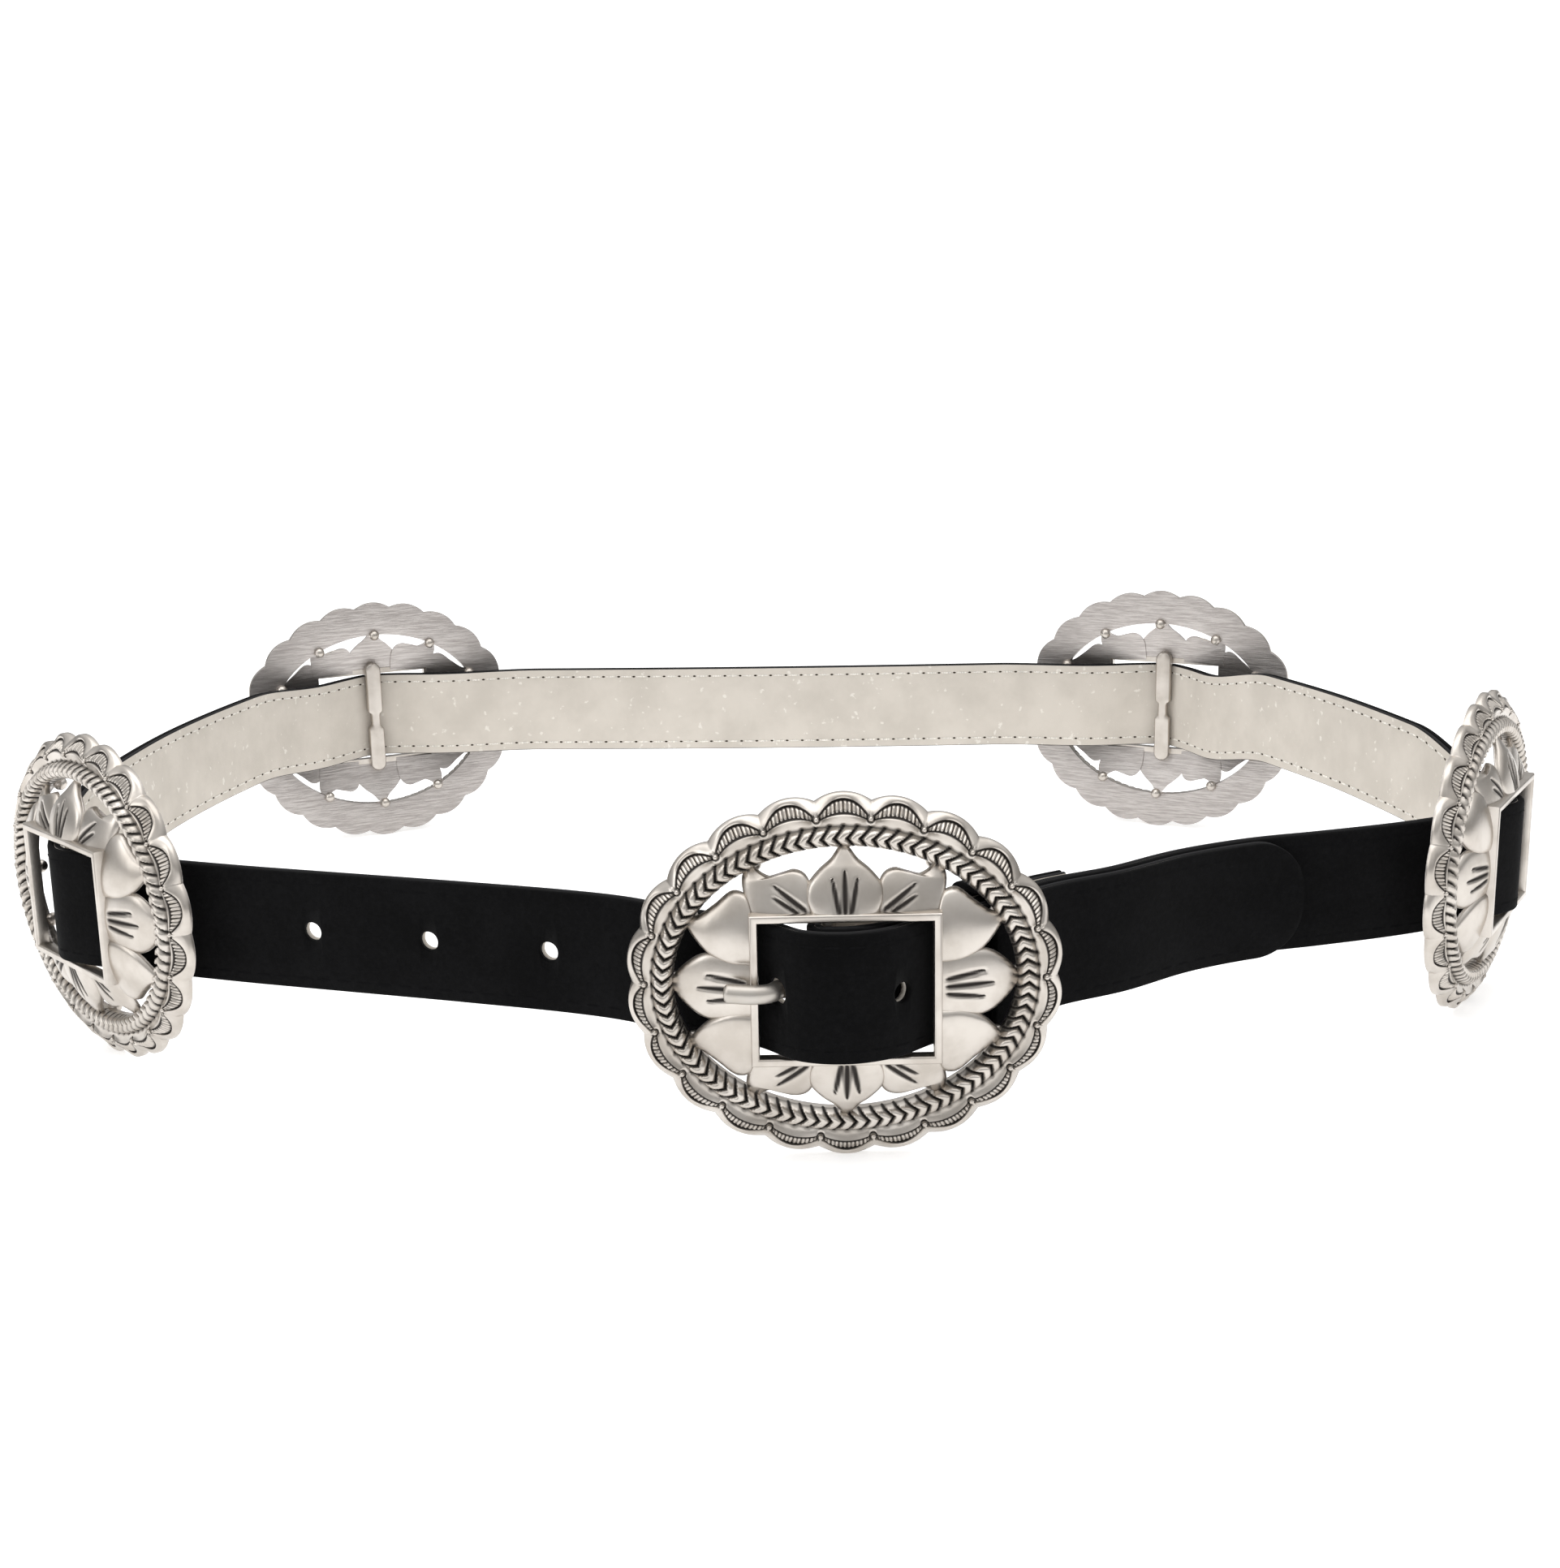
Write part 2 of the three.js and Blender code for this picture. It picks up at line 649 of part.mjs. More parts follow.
const belt = new THREE.Group();
belt.add(part('strap', strapWall(0, leatherThickness), suede));
belt.add(part('lining', strapWall(leatherThickness + pieceGap, liningThickness), paleLeather));
belt.add(part('keeper', keeper(), suede));

const plainCasting = casting();
const concho = plainCasting.add(backBar());
const buckleCasting = plainCasting.add(hingeBar());

for (const oval of ovals) {
  const stand = new THREE.Group();
  const centre = ovalCentre(oval);
  stand.position.set(centre.x, centre.y, centreHeight);
  stand.rotation.z = THREE.MathUtils.degToRad(oval.turn);
  const upright = new THREE.Group();
  upright.rotation.x = quarterTurn;
  stand.add(upright);
  upright.add(part(oval.name, oval === buckle ? buckleCasting : concho, silver));
  if (oval === buckle) upright.add(part('tongue', tongue(), silver));
  belt.add(stand);
}

// The origin lies under the middle of the whole outline
const outline = new THREE.Box3().setFromObject(belt, true).getCenter(new THREE.Vector3());
belt.position.set(-outline.x, -outline.y, 0);

export default belt;
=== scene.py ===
import bisect
import math

import bmesh
import bpy
from mathutils import Matrix, Vector


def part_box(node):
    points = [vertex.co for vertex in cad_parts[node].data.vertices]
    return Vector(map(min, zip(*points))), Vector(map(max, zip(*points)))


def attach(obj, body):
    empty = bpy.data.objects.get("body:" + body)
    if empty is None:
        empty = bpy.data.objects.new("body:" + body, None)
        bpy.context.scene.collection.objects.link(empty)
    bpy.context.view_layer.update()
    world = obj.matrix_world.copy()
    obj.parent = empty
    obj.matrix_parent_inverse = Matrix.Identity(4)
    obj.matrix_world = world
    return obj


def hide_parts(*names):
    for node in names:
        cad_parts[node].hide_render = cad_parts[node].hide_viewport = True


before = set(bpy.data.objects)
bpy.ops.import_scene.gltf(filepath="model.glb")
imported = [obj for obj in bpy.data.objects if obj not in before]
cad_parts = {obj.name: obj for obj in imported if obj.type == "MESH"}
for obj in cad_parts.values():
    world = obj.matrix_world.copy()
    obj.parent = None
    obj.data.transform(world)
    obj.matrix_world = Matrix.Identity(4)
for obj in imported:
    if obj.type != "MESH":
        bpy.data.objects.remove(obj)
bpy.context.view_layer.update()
mm = 0.001

# the loop: shares of half its width and depth, each face's turn in degrees,
# and the bow and rise of the span that follows
loop = {
    "width": 312, "depth": 246, "middleHeight": 36.5,
    "ovals": [
        {"name": "buckle", "across": 0.046, "back": -1, "turn": 0, "before": 0, "after": 0,
         "bow": 0, "rise": 0},
        {"name": "concho_right", "across": 0.987, "back": -0.353, "turn": 58.5, "before": 31, "after": 40,
         "bow": 0.05, "rise": 0.23},
        {"name": "concho_back_right", "across": 0.714, "back": 0.945, "turn": 154, "before": 47, "after": 31,
         "bow": -0.013, "rise": 0.05},
        {"name": "concho_back_left", "across": -0.819, "back": 1, "turn": 204.5, "before": 30, "after": 39,
         "bow": 0.1, "rise": 0.14},
        {"name": "concho_left", "across": -0.995, "back": -0.482, "turn": 312.7, "before": 33, "after": 28,
         "bow": 0, "rise": -0.01},
    ],
}


def centreOf(oval):
    return Vector((oval["across"] * loop["width"] / 2, oval["back"] * loop["depth"] / 2))


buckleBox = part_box("buckle")
buckleMiddle = (Vector(buckleBox[0]) + Vector(buckleBox[1])) / 2 / mm
loopShift = Vector((buckleMiddle.x - centreOf(loop["ovals"][0]).x, 0))
loopShift.y = buckleBox[1][1] / mm - centreOf(loop["ovals"][0]).y


def link(name, mesh, material):
    for polygon in mesh.polygons:
        polygon.use_smooth = True
    mesh.materials.append(material)
    piece = bpy.data.objects.new(name, mesh)
    bpy.context.scene.collection.objects.link(piece)
    return piece


def meshFrom(bm, name, sharpAngle=38):
    bmesh.ops.recalc_face_normals(bm, faces=bm.faces)
    for edge in bm.edges:
        if len(edge.link_faces) == 2:
            edge.smooth = edge.calc_face_angle(0) < math.radians(sharpAngle)
    mesh = bpy.data.meshes.new(name)
    bm.to_mesh(mesh)
    bm.free()
    return mesh


def mappedGrid(bm, along, across, place, layer=None):
    # a flat grid whose points are moved to place(share along, share across); doubles then close it
    made = bmesh.ops.create_grid(bm, x_segments=along, y_segments=across, size=0.5)["verts"]
    for vert in made:
        spot, value = place(vert.co.x + 0.5, vert.co.y + 0.5)
        vert.co = spot
        if layer is not None:
            vert[layer] = value
    bmesh.ops.remove_doubles(bm, verts=made, dist=1e-7)
    return [vert for vert in made if vert.is_valid]


def facesOf(verts):
    return list(dict.fromkeys(face for vert in verts for face in vert.link_faces))


def unitBall(around, upright):
    bm = bmesh.new()
    bmesh.ops.create_uvsphere(bm, u_segments=around, v_segments=upright, radius=1.0)
    return meshFrom(bm, "ball", 80)


def scatter(bm, shape, places):
    # copies of one small mesh, each moved, turned and scaled by its own matrix
    for place in places:
        copy = shape.copy()
        copy.transform(place)
        bm.from_mesh(copy)
        bpy.data.meshes.remove(copy)


def clamp(value, low=0.0, high=1.0):
    return min(max(value, low), high)


def blendShare(low, high, value):
    share = clamp((value - low) / (high - low))
    return share * share * (3 - 2 * share)


class Shade:  # one output socket of a node tree; arithmetic on it adds Math nodes
    def __init__(self, tree, socket=None):
        self.tree = tree
        self.socket = socket

    def add(self, kind, settings=None, inputs=None, output=0):
        made = self.tree.nodes.new(kind)
        for key, value in (settings or {}).items():
            setattr(made, key, value)
        for key, value in (inputs or {}).items():
            if isinstance(value, Shade):
                self.tree.links.new(value.socket, made.inputs[key])
            else:
                made.inputs[key].default_value = value
        return Shade(self.tree, made.outputs[output])

    def math(self, operation, first, second=0.0):
        return self.add("ShaderNodeMath", {"operation": operation}, {0: first, 1: second})

    def mix(self, factor, first, second):
        return self.add("ShaderNodeMix", {"data_type": "RGBA"}, {0: factor, 6: first, 7: second}, 2)

    def smooth(self, low, high):
        return self.add("ShaderNodeMapRange", {"interpolation_type": "SMOOTHSTEP"},
                        {"Value": self, "From Min": low, "From Max": high})

    def __add__(self, other):
        return self.math("ADD", self, other)

    __radd__ = __add__

    def __sub__(self, other):
        return self.math("SUBTRACT", self, other)

    def __rsub__(self, other):
        return self.math("SUBTRACT", other, self)

    def __mul__(self, other):
        return self.math("MULTIPLY", self, other)

    __rmul__ = __mul__


def rgb(red, green, blue):
    return (red, green, blue, 1.0)


def newMaterial(name, fixed):
    material = bpy.data.materials.new(name)
    material.use_nodes = True
    tree = material.node_tree
    shader = tree.nodes["Principled BSDF"]
    for key, value in fixed.items():
        shader.inputs[key].default_value = value
    return material, Shade(tree), shader


def connect(shade, shader, links):
    for key, value in links.items():
        if isinstance(value, Shade):
            shade.tree.links.new(value.socket, shader.inputs[key])
        else:
            shader.inputs[key].default_value = value


def grain(shade, scale, detail=3.0, roughness=0.55, stretch=(1, 1, 1)):
    place = shade.add("ShaderNodeTexCoord", output=3)
    place = shade.add("ShaderNodeMapping", {}, {"Vector": place, "Scale": stretch})
    return shade.add("ShaderNodeTexNoise", {}, {"Vector": place, "Scale": scale, "Detail": detail,
                                                "Roughness": roughness})


def bump(shade, height, strength, distance):
    return shade.add("ShaderNodeBump", {}, {"Height": height, "Strength": strength, "Distance": distance})


silverLook = {
    "clean": rgb(0.59, 0.55, 0.505), "worn": rgb(0.47, 0.43, 0.385), "oxide": rgb(0.022, 0.017, 0.014),
    "back": rgb(0.4, 0.37, 0.355), "brushed": rgb(0.56, 0.53, 0.51), "roughness": 0.27,
    "cloudScale": 110, "pitScale": 1500, "pitDepth": 0.00004, "streakScale": 150, "streakStretch": 16,
}


def silver(name, look, recessed=True):
    # the recess value on a mesh is 1 where it is dark, 0 on the face and -1 on the brushed back
    material, shade, shader = newMaterial(name, {"Metallic": 1.0})
    cloud = grain(shade, look["cloudScale"], 4.0)
    fine = grain(shade, look["pitScale"], 2.0)
    dark = shade.add("ShaderNodeAttribute", {"attribute_name": "recess"}, output=2)
    tarnish = dark.smooth(0.18, 0.85) if recessed else dark * 0.0
    behind = (dark * -1).smooth(0.3, 0.8)
    streak = grain(shade, look["streakScale"], 4.0, 0.7, (1, 1, look["streakStretch"]))
    metal = shade.mix(cloud.smooth(0.35, 0.7), look["clean"], look["worn"])
    brushed = shade.mix(streak.smooth(0.38, 0.62), look["back"], look["brushed"])
    metal = shade.mix(behind, metal, brushed)
    connect(shade, shader, {
        "Base Color": shade.mix(tarnish, metal, look["oxide"]),
        "Roughness": cloud * 0.12 + look["roughness"] + tarnish * 0.35 + behind * 0.12,
        "Metallic": 1 - tarnish * 0.6,
        "Normal": bump(shade, fine + cloud * 2 + behind * streak * 14, 0.3, look["pitDepth"]),
    })
    return material


suedeLook = {"deep": rgb(0.0012, 0.0012, 0.0014), "raised": rgb(0.0045, 0.0045, 0.005), "napScale": 900,
             "patchScale": 60}


def suede():
    material, shade, shader = newMaterial("blackSuede", {"Roughness": 0.95, "Sheen Weight": 0.02,
                                                         "Sheen Roughness": 0.5, "Specular IOR Level": 0.1})
    nap = grain(shade, suedeLook["napScale"], 4.0, 0.65)
    patch = grain(shade, suedeLook["patchScale"], 3.0)
    tone = (nap * 0.6 + patch * 0.6).smooth(0.4, 0.85)
    connect(shade, shader, {
        "Base Color": shade.mix(tone, suedeLook["deep"], suedeLook["raised"]),
        "Normal": bump(shade, nap, 0.5, 0.0002),
    })
    return material


liningLook = {
    "pale": rgb(0.62, 0.575, 0.515), "shaded": rgb(0.535, 0.495, 0.44), "speck": rgb(0.8, 0.77, 0.71),
    "edge": rgb(0.008, 0.008, 0.009), "fleckScale": 420, "cloudScale": 70, "fibreScale": 1600,
}


def liningLeather():
    material, shade, shader = newMaterial("paleLining", {"Roughness": 0.85, "Specular IOR Level": 0.3})
    fleck = grain(shade, liningLook["fleckScale"], 2.0)
    cloud = grain(shade, liningLook["cloudScale"], 4.0, 0.6)
    fibre = grain(shade, liningLook["fibreScale"], 4.0, 0.7)
    edge = shade.add("ShaderNodeAttribute", {"attribute_name": "edge"}, output=2).smooth(0.35, 0.6)
    tone = shade.mix(cloud.smooth(0.3, 0.75), liningLook["pale"], liningLook["shaded"])
    tone = shade.mix(fleck.smooth(0.66, 0.72) * 0.6, tone, liningLook["speck"])
    connect(shade, shader, {
        "Base Color": shade.mix(edge, tone, liningLook["edge"]),
        "Normal": bump(shade, fibre + cloud, 0.35, 0.00018),
    })
    return material


def thread(name, colour):
    material, shade, shader = newMaterial(name, {"Roughness": 0.9, "Specular IOR Level": 0.1})
    twist = grain(shade, 2600, 2.0, 0.5, (1, 1, 0.4))
    pale = tuple(min(1.0, part * 1.15) for part in colour[:3]) + (1.0,)
    dim = tuple(part * 0.7 for part in colour[:3]) + (1.0,)
    connect(shade, shader, {
        "Base Color": shade.mix(twist.smooth(0.3, 0.7), dim, pale),
        "Normal": bump(shade, twist, 0.4, 0.0001),
    })
    return material


castSilver = silver("antiqueSilver", silverLook)
plainSilver = silver("satinSilver", {**silverLook, "clean": rgb(0.5, 0.475, 0.44), "roughness": 0.36}, False)
blackSuede = suede()
paleLining = liningLeather()
creamThread = thread("creamThread", rgb(0.78, 0.75, 0.69))
blackThread = thread("blackThread", rgb(0.0025, 0.0025, 0.003))
# the needle holes are not cut: this dark thread colour on small spots is their painted shade
needleHoleShade = thread("needleHoleShade", rgb(0.05, 0.04, 0.03))
print("materials made")


oval = {
    "crest": (42.0, 36.5), "ropeOuter": (37.0, 30.45), "ropeInner": (32.8, 26.4),
    "scallops": 22, "stepsPerScallop": 60, "notch": 0.75, "groove": (0.8, 0.56), "innerLip": (0.36, 0.17),
    "rim": 2.8, "rimRound": 0.75, "floor": 2.15, "slope": 1.4, "drop": 2.4, "hollow": 0.6,
    "ticks": 12, "tickHeight": 0.62, "tickMargin": 0.05,
    "scallopLength": 10.5, "rimWidth": 5.6, "beadShare": 0.28, "beadRadius": 0.52, "beadSink": 0.35,
    "beadSeat": 0.5, "beadRing": 0.72, "beadRingWidth": 0.32, "beadRingDepth": 0.35,
    "ropeFoot": 2.75, "ropeFootRise": 0.65, "ropeCrest": 5.3, "strandSwell": 0.22,
    "chevrons": 84, "chevronLead": 0.74, "chevronGroove": 0.14, "chevronDepth": 1.05,
    "backBall": 1.55, "backBallHeight": 0.3,
    "domeWidth": 74, "domeHeight": 60.9, "domeRise": 7.5,
    "window": (33.0, 26.8), "bezelBand": 1.6, "bezelFace": 9.6, "bezelThickness": 2.7,
    "bezelRound": 0.45,
}


def arcTable(half, steps=1440):
    sums = [0.0]
    for step in range(steps):
        first, second = (2 * math.pi * (step + k) / steps for k in (0, 1))
        sums.append(sums[-1] + math.hypot(half[0] * (math.cos(second) - math.cos(first)),
                                          half[1] * (math.sin(second) - math.sin(first))))
    return [value / sums[-1] for value in sums]


crestArc = arcTable(oval["crest"])


def angleAt(share):
    share = share % 1.0
    after = min(max(bisect.bisect_right(crestArc, share), 1), len(crestArc) - 1)
    low, high = crestArc[after - 1], crestArc[after]
    return 2 * math.pi * (after - 1 + (share - low) / (high - low)) / (len(crestArc) - 1)


def ringSpot(angle, reach, height):
    # reach is -1 at the rope's inner edge, 0 at its outer edge and 1 at the scallops' crests
    end = oval["crest"] if reach >= 0 else oval["ropeInner"]
    half = [a + (b - a) * abs(reach) for a, b in zip(oval["ropeOuter"], end)]
    return Vector((half[0] * math.cos(angle), half[1] * math.sin(angle), height)) * mm


def domeLift(x, y):
    share = math.hypot(x / (oval["domeWidth"] / 2), y / (oval["domeHeight"] / 2))
    return oval["domeRise"] * max(0.0, 1 - share ** 3)


# the ring's section, once round it: a zone and how far through the zone each row lies
ringRows = ([("rope", step / 12) for step in range(13)] + [("dish", step / 5) for step in range(1, 6)]
            + [("ticks", step / 11) for step in range(1, 12)] + [("lip", step / 5) for step in range(1, 6)]
            + [("wall", 0.35), ("wall", 0.8), ("back", 0.98), ("back", 0.0), ("back", -0.5), ("back", -0.97)])


def ropeRow(share, part):
    side = abs(2 * part - 1)
    crown = 1 - side ** 4
    phase = (oval["chevrons"] * share - oval["chevronLead"] * (1 - side)) % 1.0
    away = min(phase, 1 - phase)
    cut = math.exp(-(away / oval["chevronGroove"]) ** 2)
    foot = oval["ropeFoot"] + oval["ropeFootRise"] * part
    height = foot + (oval["ropeCrest"] - foot) * crown
    height -= oval["chevronDepth"] * cut * (0.3 + 0.7 * crown)
    height -= oval["strandSwell"] * (2 * away - 1) ** 2
    return -1 + part, height, max(cut ** 0.6, 0.55 * blendShare(0.86, 1.0, side))


def tickRow(middle, part):
    # middle is -1 to 1 across a scallop, part 0 to 1 from its inner lip to its rim
    across = (0.9 - abs(middle)) / 0.14
    body = blendShare(0.0, 1.0, across) * blendShare(0.1, 0.26, part) * (1 - blendShare(0.8, 0.97, part))
    along = ((middle + 1) / 2 - oval["tickMargin"]) / (1 - 2 * oval["tickMargin"])
    pulse = max(0.0, math.sin(math.pi * (along * oval["ticks"] % 1.0))) ** 0.9
    pulse *= 0.35 + 0.65 * blendShare(0.14, 0.42, part)
    lip = 1 - blendShare(0.0, 0.13, part)
    height = oval["floor"] + oval["tickHeight"] * max(pulse * body, lip)
    return height, clamp(1.15 - 1.5 * pulse * body - 1.3 * lip) * blendShare(-0.2, 0.5, across)


def ringRow(zone, part, share):
    scallop = share * oval["scallops"] % 1.0
    middle = 2 * scallop - 1
    edge = 1 - (1 - oval["notch"]) * middle * middle
    groove, lip = (top - fall * middle * middle for top, fall in (oval["groove"], oval["innerLip"]))
    if zone == "rope":
        return ropeRow(share, part)
    if zone == "dish":
        reach, recess = part * lip, 0.9 * (1 - blendShare(0.0, 0.35, part))
        height = oval["floor"] - 0.1 + 0.55 * part ** 2.2
    elif zone == "ticks":
        reach = lip + part * (groove - lip)
        height, recess = tickRow(middle, part)
    elif zone == "lip":
        reach = groove + part * (edge - groove)
        crown = math.sin(math.pi * clamp(part * 1.15 + 0.02)) ** 0.5
        height = oval["floor"] + (oval["rim"] - oval["floor"]) * crown
        height = height if part < 0.5 else oval["rim"] - oval["rimRound"] * blendShare(0.5, 1.25, part)
        recess = 0.8 * (1 - blendShare(0.0, 0.05, reach - groove)) * blendShare(1.0, 0.85, abs(middle))
    elif zone == "wall":
        return edge + 0.004, 1.0 - 0.95 * part, 0.0
    elif part < 0:
        return part, oval["hollow"] * abs(part) ** 1.2, -1.0
    else:
        return part * edge, 0.0, -1.0
    height += oval["slope"] - oval["drop"] * blendShare(0.3, 0.9, reach)
    # a groove round each bead, which sits between two scallops
    beside = (1 - abs(middle)) * oval["scallopLength"] / 2
    around = math.hypot(beside, (reach - oval["beadShare"]) * oval["rimWidth"])
    ring = max(0.0, 1 - abs(around - oval["beadRing"]) / oval["beadRingWidth"])
    recess *= 1 if around > oval["beadSeat"] else 0.2
    return reach, height - oval["beadRingDepth"] * ring, max(recess, ring)


def addRing(bm, layer):
    def place(share, section):
        zone, part = ringRows[round(section * len(ringRows)) % len(ringRows)]
        reach, height, recess = ringRow(zone, part, share)
        return ringSpot(angleAt(share), reach, height), recess

    mappedGrid(bm, oval["scallops"] * oval["stepsPerScallop"], len(ringRows), place, layer)


def addBeads(bm):
    size = Matrix.Diagonal((oval["beadRadius"] * mm,) * 3 + (1,))
    height = oval["rim"] - oval["beadSink"] + oval["slope"]
    spots = [ringSpot(angleAt(bead / oval["scallops"]), oval["beadShare"], height)
             for bead in range(oval["scallops"])]
    scatter(bm, unitBall(12, 6), [Matrix.Translation(spot) @ size for spot in spots])


# petals of one quarter: both sides from foot to tip, how far each lies over its neighbours,
# and its engraved lines as start, end and width
petals = {
    "top": {
        "over": 0.9, "copies": ((1, 1), (1, -1)), "steps": (40, 36),
        "left": ((-6.1, 13.9), (-7.2, 17.2), (-7.0, 19.9), (-4.9, 22.6), (-2.5, 24.6), (-1.4, 26.0),
                 (0, 27.6)),
        "right": ((6.1, 13.9), (7.2, 17.2), (7.0, 19.9), (4.9, 22.6), (2.5, 24.6), (1.4, 26.0), (0, 27.6)),
        "lines": (((0, 15.2), (0, 22.8), 0.55), ((1.2, 15.2), (2.4, 21.6), 0.46),
                  ((-1.2, 15.2), (-2.4, 21.6), 0.46)),
    },
    "corner": {
        "over": 0.25, "copies": ((1, 1), (-1, 1), (1, -1), (-1, -1)), "steps": (36, 30),
        "left": ((5.9, 13.9), (6.3, 19.8), (7.6, 22.0), (9.8, 22.6), (12.6, 21.2), (15.2, 21.7),
                 (18.1, 23.9)),
        "right": ((18.3, 13.9), (18.9, 17.4), (19.3, 20.6), (18.1, 23.9)),
        "lines": (((7.4, 15.4), (13.3, 19.9), 0.44), ((8.9, 15.0), (13.7, 18.0), 0.38)),
    },
    "shoulder": {
        "over": 0.55, "copies": ((1, 1), (-1, 1), (1, -1), (-1, -1)), "steps": (26, 26),
        "left": ((17.0, 13.4), (18.6, 17.9), (21.0, 18.5), (24.7, 15.7), (28.0, 13.4), (31.0, 12.9)),
        "right": ((17.0, 4.6), (22.0, 5.0), (26.2, 6.9), (28.8, 9.6), (31.0, 12.9)),
        "lines": (),
    },
    "side": {
        "over": 0.0, "copies": ((1, 1), (-1, 1)), "steps": (40, 40),
        "left": ((17.0, 5.9), (22.5, 6.6), (27.0, 6.4), (30.6, 4.0), (33.9, 0)),
        "right": ((17.0, -5.9), (22.5, -6.6), (27.0, -6.4), (30.6, -4.0), (33.9, 0)),
        "lines": (((19.2, 0), (28.2, 0.1), 0.46), ((19.2, 1.5), (26.4, 2.6), 0.42),
                  ((19.2, -1.5), (26.4, -2.6), 0.42)),
    },
}
petalForm = {"foot": 1.15, "swell": 0.75, "swellWidth": 8, "edgeDrop": 0.75, "edgeRound": 0.35, "tipRound": 5,
             "engraved": 0.5, "underside": 0.1, "thinnest": 0.25}


def catmullRom(points, samples):
    # centripetal curve through flat points, as the strap's course has it
    points = [Vector(point) for point in points]
    ends = [points[0] * 2 - points[1]] + points + [points[-1] * 2 - points[-2]]
    made = []
    for sample in range(samples + 1):
        along = (len(points) - 1) * sample / samples
        first = min(int(along), len(points) - 2)
        weight = along - first
        p0, p1, p2, p3 = ends[first:first + 4]
        d0, d1, d2 = ((b - a).length ** 0.5 for a, b in ((p0, p1), (p1, p2), (p2, p3)))
        d1 = d1 if d1 > 1e-4 else 1.0
        d0 = d0 if d0 > 1e-4 else d1
        d2 = d2 if d2 > 1e-4 else d1
        start = ((p1 - p0) / d0 - (p2 - p0) / (d0 + d1) + (p2 - p1) / d1) * d1
        end = ((p2 - p1) / d1 - (p3 - p1) / (d1 + d2) + (p3 - p2) / d2) * d1
        made.append(p1 + start * weight + (p2 * 3 - p1 * 3 - start * 2 - end) * weight ** 2
                    + (p1 * 2 - p2 * 2 + start + end) * weight ** 3)
    return made


def distancesAlong(line):
    sums = [0.0]
    for first, second in zip(line, line[1:]):
        sums.append(sums[-1] + (second - first).length)
    return sums


def atDistance(line, sums, distance):
    after = min(max(bisect.bisect_right(sums, distance), 1), len(line) - 1)
    step = sums[after] - sums[after - 1]
    return line[after - 1].lerp(line[after], clamp((distance - sums[after - 1]) / step) if step else 0.0)


def evenly(line, count):
    sums = distancesAlong(line)
    return [atDistance(line, sums, sums[-1] * step / count) for step in range(count + 1)]


def smoothLine(points, step):
    fine = catmullRom(points, 2000)
    return evenly(fine, max(1, round(distancesAlong(fine)[-1] / step)))


def lineDepth(spot, lines):
    deepest = 0.0
    for start, end, width in lines:
        start, end = Vector(start), Vector(end)
        along = clamp((spot - start).dot(end - start) / (end - start).length_squared)
        taper = width * (0.25 + 0.75 * math.sin(math.pi * (0.18 + 0.82 * along)) ** 0.6)
        away = (spot - start.lerp(end, along)).length
        deepest = max(deepest, math.exp(-(away / taper) ** 2))
    return deepest


def addPetal(bm, layer, petal, signs):
    across, along = petal["steps"]
    left, right = (evenly(catmullRom(petal[side], 200), along) for side in ("left", "right"))

    def place(share, part):
        row = round(part * along)
        bent = 0.5 - 0.5 * math.cos(math.pi * share)
        spot = left[row].lerp(right[row], bent)
        width = (right[row] - left[row]).length
        inside = min(bent, 1 - bent) * width
        inside = min(inside, (1 - part) * petalForm["tipRound"])
        cut = lineDepth(spot, petal["lines"])
        swell = min(1.0, width / petalForm["swellWidth"]) * (1 - (2 * bent - 1) ** 2) * (1 - part ** 3)
        height = domeLift(spot.x, spot.y) + petalForm["foot"] + petal["over"] + petalForm["swell"] * swell
        height -= petalForm["edgeDrop"] * math.exp(-inside / petalForm["edgeRound"])
        height -= petalForm["engraved"] * cut
        recess = max(cut ** 0.5, 0.45 * math.exp(-inside / 0.2))
        return Vector((spot.x * signs[0], spot.y * signs[1], height)) * mm, recess

    made = mappedGrid(bm, across, along, place, layer)
    faces = facesOf(made)
    if signs[0] * signs[1] < 0:
        bmesh.ops.reverse_faces(bm, faces=faces)
    wall = bmesh.ops.extrude_face_region(bm, geom=faces)["geom"]
    under = [item for item in wall if isinstance(item, bmesh.types.BMVert)]
    for vert in under:
        lowest = domeLift(vert.co.x / mm, vert.co.y / mm) + petalForm["underside"] + petal["over"] * 0.5
        vert.co.z = min(vert.co.z - petalForm["thinnest"] * mm, lowest * mm)
        vert[layer] = -1.0


def addBezel(bm):
    half = [side / 2 + oval["bezelBand"] for side in oval["window"]]
    made = bmesh.ops.create_grid(bm, x_segments=1, y_segments=1, size=0.5)["verts"]
    for vert in made:
        vert.co = Vector((2 * vert.co.x * half[0], 2 * vert.co.y * half[1], oval["bezelFace"])) * mm
    inner = made[0].link_faces[0]
    band = bmesh.ops.inset_region(bm, faces=[inner], thickness=oval["bezelBand"] * mm, use_boundary=True,
                                  use_even_offset=True)["faces"]
    bmesh.ops.delete(bm, geom=[inner], context="FACES")
    wall = bmesh.ops.extrude_face_region(bm, geom=band)["geom"]
    moved = [item for item in wall if isinstance(item, bmesh.types.BMVert)]
    bmesh.ops.translate(bm, verts=moved, vec=(0, 0, -oval["bezelThickness"] * mm))
    top = [edge for edge in bm.edges if len(edge.link_faces) == 2 and edge.calc_face_angle(0) > 1.0
           and all(vert.co.z > (oval["bezelFace"] - 0.01) * mm for vert in edge.verts)]
    bmesh.ops.bevel(bm, geom=top, offset=oval["bezelRound"] * mm, segments=3, affect="EDGES", profile=0.5,
                    material=-1)


